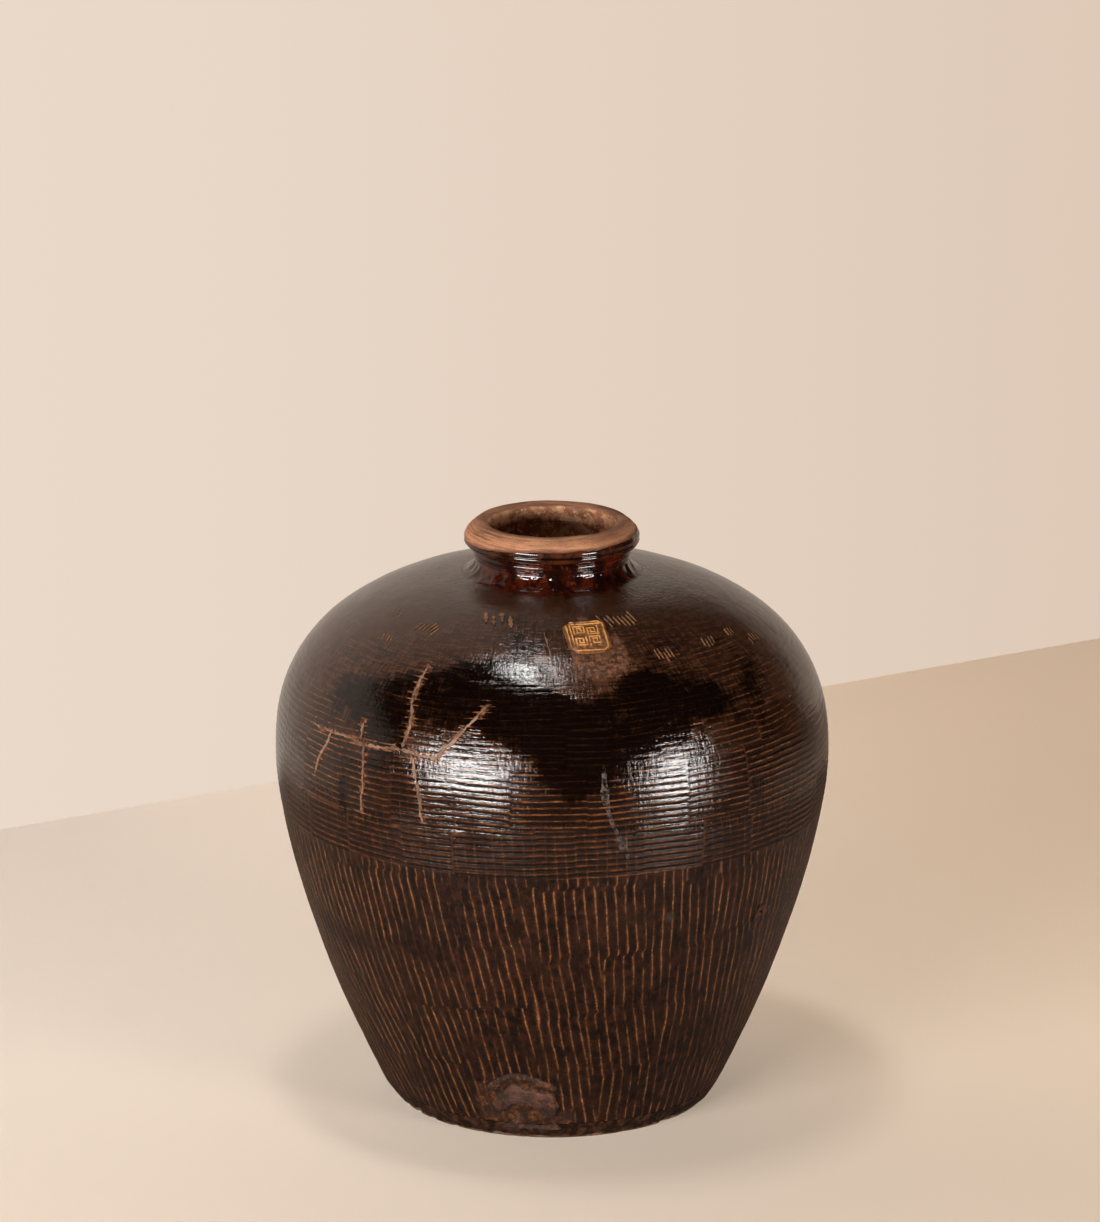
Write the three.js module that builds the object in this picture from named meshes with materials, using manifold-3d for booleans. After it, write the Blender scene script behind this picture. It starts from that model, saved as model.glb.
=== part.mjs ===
// A large stoneware storage jar with a dark crackle glaze, built up by hand from separate sections of clay.
// Units are millimetres, +Z is up and the foot stands on z = 0 with the jar's axis on the Z axis.
// Azimuths are in degrees round the axis, from the front of the jar (-Y) towards +X.
import * as THREE from "three";
import { mergeVertices } from "three/addons/utils/BufferGeometryUtils.js";
import Module from "manifold-3d";

const wasm = await Module();
wasm.setup();

// Outer shape of the wall
const FOOT_RADIUS = 138;
const FOOT_HEIGHT = 8;
const FOOT_CHAMFER = 5;
const BELLY_RADIUS = 224.5;
const BELLY_HEIGHT = 285;
const NECK_ROOT_HEIGHT = 437;
const LOWER_CURVE = 1.54;
const SHOULDER_RISE = 2.6;
const SHOULDER_TURN = 1.83;

// Clay sections and the laps that join them
const WALL = 11;
const LUTING_GAP = 0.3;
const LAP_HEIGHT = 9;
const SLAB_THICKNESS = 15;
const SLAB_SPIGOT_HEIGHT = 6;
const FOOT_RING_WIDTH = 33;
const DISH_DEPTH = 2.5;
const DISH_SLOPE_WIDTH = 4;
const WAIST_SEAM_HEIGHT = 248;
const SHOULDER_SEAM_HEIGHT = 341;

// Neck and rolled lip
const MOUTH_RADIUS = 52;
const NECK_WALL = 10.5;
const NECK_HEIGHT = 22;
const NECK_FLANGE_WIDTH = 10.5;
const NECK_FLANGE_THICKNESS = 5;
const NECK_FILLET = 8;
const NECK_RING_RADIUS = 2.4;
const NECK_TONGUE_HEIGHT = 4;
const LIP_HALF_WIDTH = 11.4;
const LIP_HALF_THICKNESS = 8;
const LIP_TILT = 45;
const LIP_SET_IN = 1.5;

const NECK_RADIUS = MOUTH_RADIUS + NECK_WALL;
const NECK_TONGUE_RADIUS = MOUTH_RADIUS + NECK_WALL / 2;
const NECK_FLANGE_RADIUS = NECK_RADIUS + NECK_FLANGE_WIDTH;
const NECK_TOP_HEIGHT = NECK_ROOT_HEIGHT + NECK_HEIGHT;
const NECK_ROOT_RADIUS = NECK_RADIUS + LIP_SET_IN;

// Pieces that sit on the wall, placed by height above the floor, distance out from the neck's root
// or drop below the shoulder seam
const SEAL = { azimuth: 11.3, out: 76, width: 35, length: 40, corner: 7, proud: 2.2 };
const SCAR = { azimuth: -8.8, height: 38, width: 64, length: 56, proud: 4.5 };
const GRIT = { azimuth: 53, height: 186, width: 14, length: 20, proud: 1.4 };
const SMEAR = { azimuth: 12.4, drop: 41, width: 6, length: 82, lean: 7, proud: 1 };
const FILLER_RADIUS = 1.6;
const FILLER_DEPTH = 0.3;

// How finely the shapes are faceted
const SEGMENTS = 48;
const WALL_STEP_HEIGHT = 30;
const DOME_STEPS = 7;
const ARC_STEPS = 4;
const FILLER_SIDES = 6;
const FILLER_STEPS = 2;
const PATCH_SIDES = 16;
const MERGE_DISTANCE = 1e-4;
const SLOPE_STEP = 0.05;

// Each crack as [azimuth, height above the shoulder seam] points along the line that it follows
const CRACKS = {
  joint_crack_filler: [
    [-59.7, 0], [-53.6, 0], [-48.6, 0.8], [-44.4, 0], [-40.8, -0.6],
    [-36.2, 0.3], [-32.9, 0.9], [-30.3, 0.6], [-28.3, -0.5], [-23.3, -0.5],
  ],
  upper_crack_filler_long: [
    [-32.2, 8.4], [-31.8, 18], [-31.9, 27], [-33.2, 35], [-33.3, 43.5], [-33.3, 51.3], [-33.1, 58],
  ],
  upper_crack_filler_short: [
    [-23.6, 3.6], [-22.2, 8.2], [-20.3, 15.8], [-18.5, 24], [-16.6, 31.5], [-15, 38.6],
  ],
  upper_crack_filler_side: [
    [-43.6, 4.8], [-44.1, 14.6],
  ],
  lower_crack_filler_front: [
    [-29.9, -3.2], [-29.4, -8.4], [-28.2, -21], [-27.3, -34.5], [-26.8, -52],
  ],
  lower_crack_filler_middle: [
    [-42.1, -6.4], [-41.8, -16.6], [-41.4, -32.2], [-41.8, -54],
  ],
  lower_crack_filler_side: [
    [-53, -4.6], [-53.8, -11.2], [-55.6, -23.4], [-56.7, -34],
  ],
};

const DARK_GLAZE = { color: 0x1d120c, roughness: 0.16, metalness: 0 };
const RUSSET_GLAZE = { color: 0x4a1708, roughness: 0.14, metalness: 0 };
const BARE_CLAY = { color: 0x8a5238, roughness: 0.72, metalness: 0 };
const STAMP_CLAY = { color: 0xb0702c, roughness: 0.5, metalness: 0 };
const SCAR_CLAY = { color: 0x5a4038, roughness: 0.85, metalness: 0 };
const FILLER = { color: 0xa07a5c, roughness: 0.9, metalness: 0 };

function lowerRadius(height) {
  const below = (BELLY_HEIGHT - height) / (BELLY_HEIGHT - FOOT_HEIGHT);
  return BELLY_RADIUS - (BELLY_RADIUS - FOOT_RADIUS) * below ** LOWER_CURVE;
}

function shoulderRadius(height) {
  const rise = Math.min(1, (height - BELLY_HEIGHT) / (NECK_ROOT_HEIGHT - BELLY_HEIGHT));
  const share = (1 - rise ** SHOULDER_RISE) ** (1 / SHOULDER_TURN);
  return NECK_ROOT_RADIUS + (BELLY_RADIUS - NECK_ROOT_RADIUS) * share;
}

// Radius of the outer surface at a height above the floor
function outerRadius(height) {
  return height < BELLY_HEIGHT ? lowerRadius(height) : shoulderRadius(height);
}

// The height at which the shoulder has closed in to a radius
function shoulderHeight(radius) {
  const share = (radius - NECK_ROOT_RADIUS) / (BELLY_RADIUS - NECK_ROOT_RADIUS);
  const rise = (1 - share ** SHOULDER_TURN) ** (1 / SHOULDER_RISE);
  return BELLY_HEIGHT + (NECK_ROOT_HEIGHT - BELLY_HEIGHT) * rise;
}

// Outward normal of the outer surface in the half plane of radius and height
function outerNormal(height) {
  const rise = outerRadius(height + SLOPE_STEP) - outerRadius(height - SLOPE_STEP);
  return new THREE.Vector2(2 * SLOPE_STEP, -rise).normalize();
}

// A point under the outer surface, as a profile point of radius and height
function wallPoint(height, depth) {
  return new THREE.Vector2(outerRadius(height), height).addScaledVector(outerNormal(height), -depth);
}

// Wall points at a depth from one height to another
function wallLine(from, to, depth) {
  const steps = Math.ceil(Math.abs(to - from) / WALL_STEP_HEIGHT);
  const points = [];
  for (let i = 0; i <= steps; i++) points.push(wallPoint(from + ((to - from) * i) / steps, depth));
  return points;
}

// Wall points at a depth whose heights crowd together towards the flat top of the shoulder
function domeLine(from, to, depth) {
  const points = [];
  for (let i = 0; i <= DOME_STEPS; i++) {
    const share = Math.sin(((i / DOME_STEPS) * Math.PI) / 2);
    points.push(wallPoint(from + (to - from) * share, depth));
  }
  return points;
}

function solidOf(geometry) {
  geometry.deleteAttribute("normal");
  geometry.deleteAttribute("uv");
  const merged = mergeVertices(geometry, MERGE_DISTANCE);
  return new wasm.Manifold(
    new wasm.Mesh({
      numProp: 3,
      vertProperties: merged.attributes.position.array,
      triVerts: new Uint32Array(merged.index.array),
    }),
  );
}

// Turns a profile of radius and height round the jar's axis
function turned(profile) {
  return solidOf(new THREE.LatheGeometry(profile, SEGMENTS).rotateX(Math.PI / 2));
}

function closed(points) {
  return [...points, points[0].clone()];
}

function surfacePoint(azimuth, height, depth) {
  const point = wallPoint(height, depth);
  const angle = THREE.MathUtils.degToRad(azimuth);
  return new THREE.Vector3(point.x * Math.sin(angle), -point.x * Math.cos(angle), point.y);
}

// The jar's outer form from foot to neck root as one solid, grown outwards
function outerForm(grow) {
  const side = [
    ...wallLine(SLAB_THICKNESS, WAIST_SEAM_HEIGHT, -grow).slice(0, -1),
    ...wallLine(WAIST_SEAM_HEIGHT, SHOULDER_SEAM_HEIGHT, -grow).slice(0, -1),
    ...domeLine(SHOULDER_SEAM_HEIGHT, shoulderHeight(NECK_FLANGE_RADIUS), -grow),
  ];
  const foot = wallPoint(FOOT_HEIGHT, -grow);
  return turned([
    new THREE.Vector2(0, foot.y),
    foot,
    ...side,
    new THREE.Vector2(0, side[side.length - 1].y),
  ]);
}

// A patch of the given outline on the outer surface, with its edges square to the wall
function skinPatch(outline, azimuth, height, proud) {
  const reach = WALL + proud;
  const out = outerNormal(height);
  const angle = THREE.MathUtils.degToRad(azimuth);
  const normal = new THREE.Vector3(out.x * Math.sin(angle), -out.x * Math.cos(angle), out.y);
  const across = new THREE.Vector3(Math.cos(angle), Math.sin(angle), 0);
  const up = new THREE.Vector3().crossVectors(normal, across);
  const place = new THREE.Matrix4()
    .makeBasis(across, up, normal)
    .setPosition(surfacePoint(azimuth, height, reach));
  const shape = new THREE.Shape(outline);
  const prism = new THREE.ExtrudeGeometry(shape, { depth: 2 * reach, bevelEnabled: false });
  prism.applyMatrix4(place);
  return solidOf(prism).intersect(outerForm(proud)).subtract(outerForm(LUTING_GAP));
}

// The flat disc of clay that the jar is built on, dished underneath so that it stands on its rim
function baseSlab() {
  const footEdge = FOOT_RADIUS - FOOT_CHAMFER;
  const dishEdge = footEdge - FOOT_RING_WIDTH;
  const spigotRadius = wallPoint(SLAB_THICKNESS, WALL).x - LUTING_GAP;
  const slabTop = SLAB_THICKNESS - LUTING_GAP;
  const spigotTop = SLAB_THICKNESS + SLAB_SPIGOT_HEIGHT;
  return turned([
    new THREE.Vector2(0, DISH_DEPTH),
    new THREE.Vector2(dishEdge - DISH_SLOPE_WIDTH, DISH_DEPTH),
    new THREE.Vector2(dishEdge, 0),
    new THREE.Vector2(footEdge, 0),
    wallPoint(FOOT_HEIGHT, 0),
    wallPoint(slabTop, 0),
    new THREE.Vector2(spigotRadius, slabTop),
    new THREE.Vector2(spigotRadius, spigotTop),
    new THREE.Vector2(0, spigotTop),
  ]);
}

// The tapering lower wall, whose top edge is cut back outside to leave a tongue
function lowerWall() {
  const tongueTop = WAIST_SEAM_HEIGHT + LAP_HEIGHT;
  return turned(
    closed([
      ...wallLine(SLAB_THICKNESS, WAIST_SEAM_HEIGHT, 0),
      wallPoint(WAIST_SEAM_HEIGHT, WALL / 2),
      wallPoint(tongueTop, WALL / 2),
      ...wallLine(tongueTop, SLAB_THICKNESS, WALL).slice(0, -1),
      new THREE.Vector2(wallPoint(SLAB_THICKNESS, WALL).x, SLAB_THICKNESS),
    ]),
  );
}

// The belly ring, lapped over the lower wall's tongue, with a tongue of its own at the top
function bellyWall() {
  const bottom = WAIST_SEAM_HEIGHT + LUTING_GAP;
  const tongueTop = SHOULDER_SEAM_HEIGHT + LAP_HEIGHT;
  return turned(
    closed([
      ...wallLine(bottom, SHOULDER_SEAM_HEIGHT, 0),
      wallPoint(SHOULDER_SEAM_HEIGHT, WALL / 2),
      wallPoint(tongueTop, WALL / 2),
      ...wallLine(tongueTop, bottom + LAP_HEIGHT, WALL),
      wallPoint(bottom + LAP_HEIGHT, WALL / 2 - LUTING_GAP),
      wallPoint(bottom, WALL / 2 - LUTING_GAP),
    ]),
  );
}

// The domed shoulder, lapped over the belly ring, with a seat for the neck round its opening
function shoulderWall() {
  const bottom = SHOULDER_SEAM_HEIGHT + LUTING_GAP;
  const top = shoulderHeight(NECK_FLANGE_RADIUS);
  const seatHeight = top - NECK_FLANGE_THICKNESS;
  const inner = domeLine(bottom + LAP_HEIGHT, top, WALL).reverse();
  return turned(
    closed([
      ...domeLine(bottom, top, 0),
      new THREE.Vector2(NECK_FLANGE_RADIUS, seatHeight),
      new THREE.Vector2(NECK_RADIUS, seatHeight),
      new THREE.Vector2(NECK_RADIUS, inner[0].y),
      ...inner,
      wallPoint(bottom + LAP_HEIGHT, WALL / 2 - LUTING_GAP),
      wallPoint(bottom, WALL / 2 - LUTING_GAP),
    ]),
  );
}

// Profile of the neck, which a clearance grows so that the lip can be seated on it
function neckProfile(grow) {
  const flangeTop = shoulderHeight(NECK_FLANGE_RADIUS);
  const seat = flangeTop - NECK_FLANGE_THICKNESS + LUTING_GAP;
  const bottom = wallPoint(flangeTop, WALL).y;
  const ringHeight = NECK_TOP_HEIGHT - NECK_RING_RADIUS;
  const tongueTop = NECK_TOP_HEIGHT + NECK_TONGUE_HEIGHT;
  const path = new THREE.Path();
  path.moveTo(MOUTH_RADIUS - grow, bottom - grow);
  path.lineTo(NECK_RADIUS - LUTING_GAP, bottom - grow);
  path.lineTo(NECK_RADIUS - LUTING_GAP, seat);
  path.lineTo(NECK_FLANGE_RADIUS - LUTING_GAP, seat);
  path.lineTo(NECK_FLANGE_RADIUS - LUTING_GAP, flangeTop);
  path.quadraticCurveTo(NECK_RADIUS, flangeTop, NECK_RADIUS, flangeTop + NECK_FILLET);
  path.lineTo(NECK_RADIUS, ringHeight - NECK_RING_RADIUS);
  path.absarc(NECK_RADIUS, ringHeight, NECK_RING_RADIUS + grow, -Math.PI / 2, Math.PI / 2);
  path.lineTo(NECK_TONGUE_RADIUS + grow, NECK_TOP_HEIGHT + grow);
  path.lineTo(NECK_TONGUE_RADIUS + grow, tongueTop + grow);
  path.lineTo(MOUTH_RADIUS - grow, tongueTop + grow);
  return closed(path.getPoints(ARC_STEPS).map((point) => new THREE.Vector2(point.x, point.y)));
}

function neckCollar() {
  return turned(neckProfile(0));
}

// The rolled lip, a flattened coil that leans outwards and is pressed down over the neck's tongue. Its inner
// side is filled down to the tongue, so that the throat runs up without a groove.
function rolledLip() {
  const tilt = THREE.MathUtils.degToRad(LIP_TILT);
  const halfHeight = Math.hypot(LIP_HALF_WIDTH * Math.sin(tilt), LIP_HALF_THICKNESS * Math.cos(tilt));
  const coilRadius = NECK_RADIUS - LIP_SET_IN;
  const coilHeight = NECK_TOP_HEIGHT + halfHeight - LUTING_GAP;
  const coil = new THREE.EllipseCurve(
    coilRadius, coilHeight, LIP_HALF_WIDTH, LIP_HALF_THICKNESS, 0, 2 * Math.PI, false, -tilt,
  );
  const throat = [
    new THREE.Vector2(MOUTH_RADIUS, NECK_TOP_HEIGHT),
    new THREE.Vector2(coilRadius, NECK_TOP_HEIGHT),
    new THREE.Vector2(coilRadius, coilHeight),
    new THREE.Vector2(MOUTH_RADIUS, coilHeight),
  ];
  const outline = coil.getPoints(4 * ARC_STEPS).slice(0, -1);
  const rolled = turned(closed(outline)).add(turned(closed(throat)));
  return rolled.subtract(turned(neckProfile(LUTING_GAP)));
}

// A filled crack, as a thin round bead just under the outer surface
function crackBead(points, radius) {
  const centres = points.map(([azimuth, rise]) => (
    surfacePoint(azimuth, SHOULDER_SEAM_HEIGHT + rise, FILLER_DEPTH)
  ));
  const section = new THREE.Shape(ovalOutline(2 * radius, 2 * radius, FILLER_SIDES));
  const bead = new THREE.ExtrudeGeometry(section, {
    steps: FILLER_STEPS * (points.length - 1),
    extrudePath: new THREE.CatmullRomCurve3(centres),
  });
  return solidOf(bead);
}

function cutCracks(wall) {
  return Object.values(CRACKS).reduce(
    (cut, points) => cut.subtract(crackBead(points, FILLER_RADIUS + LUTING_GAP)),
    wall,
  );
}

// The stamped pad on the shoulder: a square with its corners cut off
function sealPad() {
  const x = SEAL.width / 2;
  const y = SEAL.length / 2;
  const c = SEAL.corner;
  const outline = [
    [-x, c - y], [c - x, -y], [x - c, -y], [x, c - y], [x, y - c], [x - c, y], [c - x, y], [-x, y - c],
  ].map(([across, up]) => new THREE.Vector2(across, up));
  const height = shoulderHeight(NECK_ROOT_RADIUS + SEAL.out);
  return skinPatch(outline, SEAL.azimuth, height, SEAL.proud);
}

function ovalOutline(width, length, sides, lean = 0) {
  const points = [];
  for (let i = 0; i < sides; i++) {
    const angle = (i / sides) * 2 * Math.PI;
    const up = (length / 2) * Math.sin(angle);
    points.push(new THREE.Vector2((width / 2) * Math.cos(angle) - (lean * up) / length, up));
  }
  return points;
}

function kilnScar() {
  const outline = ovalOutline(SCAR.width, SCAR.length, PATCH_SIDES);
  return skinPatch(outline, SCAR.azimuth, SCAR.height, SCAR.proud);
}

function kilnGrit() {
  const outline = ovalOutline(GRIT.width, GRIT.length, PATCH_SIDES);
  return skinPatch(outline, GRIT.azimuth, GRIT.height, GRIT.proud);
}

function mortarSmear() {
  const outline = ovalOutline(SMEAR.width, SMEAR.length, PATCH_SIDES, SMEAR.lean);
  return skinPatch(outline, SMEAR.azimuth, SHOULDER_SEAM_HEIGHT - SMEAR.drop, SMEAR.proud);
}

function mesh(name, solid, finish) {
  const made = solid.getMesh();
  const positions = new Float32Array(made.numVert * 3);
  for (let i = 0; i < made.numVert; i++) {
    positions.set(made.vertProperties.subarray(i * made.numProp, i * made.numProp + 3), i * 3);
  }
  const geometry = new THREE.BufferGeometry();
  geometry.setAttribute("position", new THREE.BufferAttribute(positions, 3));
  geometry.setIndex(new THREE.BufferAttribute(made.triVerts, 1));
  geometry.computeVertexNormals();
  const result = new THREE.Mesh(geometry, new THREE.MeshStandardMaterial(finish));
  result.name = name;
  return result;
}

const jar = new THREE.Group();
jar.add(
  mesh("base_slab", baseSlab(), BARE_CLAY),
  mesh("lower_wall", lowerWall(), DARK_GLAZE),
  mesh("belly_wall", cutCracks(bellyWall()), DARK_GLAZE),
  mesh("shoulder_wall", cutCracks(shoulderWall()), DARK_GLAZE),
  mesh("neck_collar", neckCollar(), RUSSET_GLAZE),
  mesh("rolled_lip", rolledLip(), BARE_CLAY),
  mesh("seal_pad", sealPad(), STAMP_CLAY),
  mesh("kiln_scar", kilnScar(), SCAR_CLAY),
  mesh("kiln_grit", kilnGrit(), SCAR_CLAY),
  mesh("mortar_smear", mortarSmear(), FILLER),
);
for (const [name, points] of Object.entries(CRACKS)) {
  jar.add(mesh(name, crackBead(points, FILLER_RADIUS), FILLER));
}

export default jar;
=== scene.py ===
import math
import random
from collections import namedtuple

import bmesh
import bpy
import numpy as np
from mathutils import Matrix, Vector, noise


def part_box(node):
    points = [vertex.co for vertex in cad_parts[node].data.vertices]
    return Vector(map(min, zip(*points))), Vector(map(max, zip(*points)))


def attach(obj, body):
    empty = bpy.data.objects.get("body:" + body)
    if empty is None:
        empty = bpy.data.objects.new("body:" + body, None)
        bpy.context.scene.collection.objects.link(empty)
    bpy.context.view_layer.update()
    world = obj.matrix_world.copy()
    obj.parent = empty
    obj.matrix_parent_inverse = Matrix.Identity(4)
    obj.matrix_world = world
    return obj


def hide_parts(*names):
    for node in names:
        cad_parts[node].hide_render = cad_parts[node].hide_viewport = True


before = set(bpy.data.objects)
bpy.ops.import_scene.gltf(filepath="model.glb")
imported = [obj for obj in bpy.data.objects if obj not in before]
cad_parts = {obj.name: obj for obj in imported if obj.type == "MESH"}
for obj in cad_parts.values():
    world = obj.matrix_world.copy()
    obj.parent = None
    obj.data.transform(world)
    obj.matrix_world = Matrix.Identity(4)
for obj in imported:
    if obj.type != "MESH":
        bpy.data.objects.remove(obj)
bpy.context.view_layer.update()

# Foot slab: the flat disc of coarse stoneware that the jar was built up on. It is bare clay with a run of
# glaze down its side, stands on a worn ring round a shallow dish, and its edge is chipped.
FOOT_RADIUS = 0.138
FOOT_HEIGHT = 0.008
FOOT_EDGE_RADIUS = 0.133
FOOT_SHIFT = 0.002
FOOT_EDGE_BEND = 0.002
FOOT_SETBACK = 0.0010
RING_WIDTH = 0.004
DISH_RADIUS = 0.096
DISH_DEPTH = 0.0025
SLAB_TOP = 0.015
SPIGOT_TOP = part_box("base_slab")[1].z
BELLY_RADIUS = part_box("belly_wall")[1].x
BELLY_HEIGHT = 0.285
LOWER_CURVE = 1.54
NECK_ROOT_RADIUS = 0.064
NECK_ROOT_HEIGHT = 0.437
SHOULDER_RISE = 2.6
SHOULDER_TURN = 1.83
WALL = 0.011
SOCKET_KINDS = {
    "Coords": "Vector", "Ribs": "Vector", "Colour": "Color", "Light clay": "Color", "Dark clay": "Color",
}


def wall_radius(height):
    """Radius of the jar's outer surface at a height."""
    below = np.clip((BELLY_HEIGHT - height) / (BELLY_HEIGHT - FOOT_HEIGHT), 0, None)
    rise = np.clip((height - BELLY_HEIGHT) / (NECK_ROOT_HEIGHT - BELLY_HEIGHT), 0, 1)
    lower = BELLY_RADIUS - (BELLY_RADIUS - FOOT_RADIUS) * below ** LOWER_CURVE
    share = (1 - rise ** SHOULDER_RISE) ** (1 / SHOULDER_TURN)
    upper = NECK_ROOT_RADIUS + (BELLY_RADIUS - NECK_ROOT_RADIUS) * share
    return np.where(height < BELLY_HEIGHT, lower, upper)


def turn(profile, steps, closed=True):
    """Turns a profile of radius and height round the jar's axis: a grid is rolled up and its seams merged."""
    line = list(profile) + ([profile[0]] if closed else [])
    rows = len(line) - 1
    bm = bmesh.new()
    bmesh.ops.create_grid(bm, x_segments=steps, y_segments=rows, size=0.5)
    for vert in bm.verts:
        radius, height = line[round((vert.co.y + 0.5) * rows)]
        around = 2 * math.pi * round((vert.co.x + 0.5) * steps) / steps
        vert.co = (radius * math.sin(around), -radius * math.cos(around), height)
    bmesh.ops.remove_doubles(bm, verts=bm.verts, dist=0.000001)
    return bm


def put(name, data):
    """Puts a new object with the given mesh, lamp or camera into the scene."""
    made = bpy.data.objects.new(name, data)
    bpy.context.scene.collection.objects.link(made)
    return made


def mesh_from(name, bm, materials):
    mesh = bpy.data.meshes.new(name)
    bm.to_mesh(mesh)
    bm.free()
    for material in materials:
        mesh.materials.append(material)
    return mesh


def piece(name, bm, materials, slot, *nodes):
    """Makes the finished object, which stands for the named solids of the frame, and gives its mesh."""
    bmesh.ops.recalc_face_normals(bm, faces=bm.faces)
    mesh = mesh_from(name, bm, materials)
    mesh.polygons.foreach_set("use_smooth", [True] * len(mesh.polygons))
    mesh.set_sharp_from_angle(angle=math.radians(60))
    made = put(name, mesh)
    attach(made, "root")
    if nodes:
        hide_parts(*nodes)
    return mesh


def points_of(mesh):
    points = np.zeros(len(mesh.vertices) * 3)
    mesh.vertices.foreach_get("co", points)
    return points.reshape(-1, 3)


def set_points(mesh, points):
    mesh.vertices.foreach_set("co", points.astype(np.float32).ravel())
    mesh.update()


def polar(points):
    """Radius and azimuth of each point, with azimuth 0 at the front."""
    return np.hypot(points[:, 0], points[:, 1]), np.arctan2(points[:, 0], -points[:, 1])


def around_axis(radius, azimuth, height):
    return np.stack([radius * np.sin(azimuth), -radius * np.cos(azimuth), height], -1)


def grain(points, size, seed=0.0):
    """Smooth noise from -1 to 1 at each point, in lumps of about the given size."""
    return np.array([noise.noise(point) for point in (points / size + (seed, seed * 1.7, seed * 2.3)).tolist()])


def grains(points, *layers):
    """Sum of layers of grain, each (amount, size, seed)."""
    return sum(amount * grain(points, size, seed) for amount, size, seed in layers)


def ramp(value, start, length):
    """Straight rise from 0 to 1 over a length, which is negative where it falls."""
    return np.clip((value - start) / length, 0, 1)


class Wire:
    """The output of a shader node, which adds, subtracts and multiplies like a number."""

    def __init__(self, tree, socket):
        self.tree = tree
        self.socket = socket

    def __add__(self, other):
        return calc(self.tree, "ADD", self, other)

    def __sub__(self, other):
        return calc(self.tree, "SUBTRACT", self, other)

    def __rsub__(self, other):
        return calc(self.tree, "SUBTRACT", other, self)

    def __mul__(self, other):
        return calc(self.tree, "MULTIPLY", self, other)


def feed(tree, node, inputs):
    """Gives a node its inputs by name or number: wires, numbers, vectors or colours of three parts."""
    for name, value in inputs.items():
        socket = node.inputs[name]
        if isinstance(value, Wire):
            tree.links.new(value.socket, socket)
        else:
            socket.default_value = (*value, 1) if socket.type == "RGBA" else value


def add(tree, kind, inputs, output=0, **settings):
    """Adds a shader node and gives the wire from one of its outputs."""
    made = tree.nodes.new(kind)
    for name, value in settings.items():
        setattr(made, name, value)
    feed(tree, made, inputs)
    return Wire(tree, made.outputs[output])


def calc(tree, operation, *values):
    return add(tree, "ShaderNodeMath", dict(enumerate(values)), operation=operation)


def ease(value, low, high, start=0.0, end=1.0):
    """Smooth step of a value between two limits."""
    return add(value.tree, "ShaderNodeMapRange", {
        "Value": value, "From Min": low, "From Max": high, "To Min": start, "To Max": end,
    }, interpolation_type="SMOOTHSTEP")


def mix(share, first, second):
    return add(share.tree, "ShaderNodeMix", {0: share, 6: first, 7: second}, 2, data_type="RGBA")


def speckle(coords, scale, detail=3.0, roughness=0.55):
    """Noise of one scale, or of a scale of its own along each axis."""
    if isinstance(scale, tuple):
        coords = add(coords.tree, "ShaderNodeMapping", {"Vector": coords, "Scale": scale})
        scale = 1.0
    return add(coords.tree, "ShaderNodeTexNoise", {
        "Vector": coords, "Scale": scale, "Detail": detail, "Roughness": roughness,
    })


def axes_of(vector):
    split = vector.tree.nodes.new("ShaderNodeSeparateXYZ")
    feed(vector.tree, split, {0: vector})
    return [Wire(vector.tree, socket) for socket in split.outputs]


def bump(height, strength, distance):
    return add(height.tree, "ShaderNodeBump", {"Height": height, "Strength": strength, "Distance": distance})


def add_sockets(made, direction, names):
    for name in names:
        kind = "NodeSocket" + SOCKET_KINDS.get(name, "Float")
        made.interface.new_socket(name, in_out=direction, socket_type=kind)


def group(name, inputs, build):
    """A node group, from a function that takes its input wires and gives its outputs by name."""
    made = bpy.data.node_groups.new(name, "ShaderNodeTree")
    add_sockets(made, "INPUT", inputs)
    given = made.nodes.new("NodeGroupInput")
    results = build(*[Wire(made, given.outputs[socket]) for socket in inputs])
    add_sockets(made, "OUTPUT", results)
    feed(made, made.nodes.new("NodeGroupOutput"), results)
    return made


def use(made, *inputs):
    """Wires of a group's outputs by name. Its inputs are given in order, a wire first."""
    tree = inputs[0].tree
    node = tree.nodes.new("ShaderNodeGroup")
    node.node_tree = made
    feed(tree, node, dict(enumerate(inputs)))
    return {socket.name: Wire(tree, socket) for socket in node.outputs}


def finish(name, build, *details):
    """A material, from a function that takes object coordinates and gives the Principled inputs."""
    made = bpy.data.materials.new(name)
    made.use_nodes = True
    tree = made.node_tree
    coords = add(tree, "ShaderNodeTexCoord", {}, "Object")
    feed(tree, tree.nodes["Principled BSDF"], build(coords, *details))
    return made


def rough_clay(coords, light, dark, lines):
    """Bare stoneware: grainy, with iron specks and fine turning lines."""
    broad = speckle(coords, 38.0, 4.0, 0.6)
    fine = speckle(coords, 620.0, 4.0, 0.7)
    specks = ease(speckle(coords, 900.0, 1.0), 0.66, 0.74)
    swing = (speckle(coords, (12, 12, 900), 2.0) - 0.5) * lines
    tone = broad * 0.65 + fine * 0.35 + swing * 0.8
    colour = mix(ease(tone, 0.36, 0.66), dark, light)
    return {
        "Colour": mix(specks * 0.7, colour, dark), "Height": fine * 0.6 + swing,
        "Roughness": ease(fine, 0.3, 0.7, 0.62, 0.85),
    }


ROUGH_CLAY = group("rough clay", ["Coords", "Light clay", "Dark clay", "Lines"], rough_clay)


def plain_clay(coords, light, dark, lines, depth):
    clay = use(ROUGH_CLAY, coords, light, dark, lines)
    return {
        "Base Color": clay["Colour"], "Roughness": clay["Roughness"], "IOR": 1.45,
        "Normal": bump(clay["Height"], 0.6, depth),
    }


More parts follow.
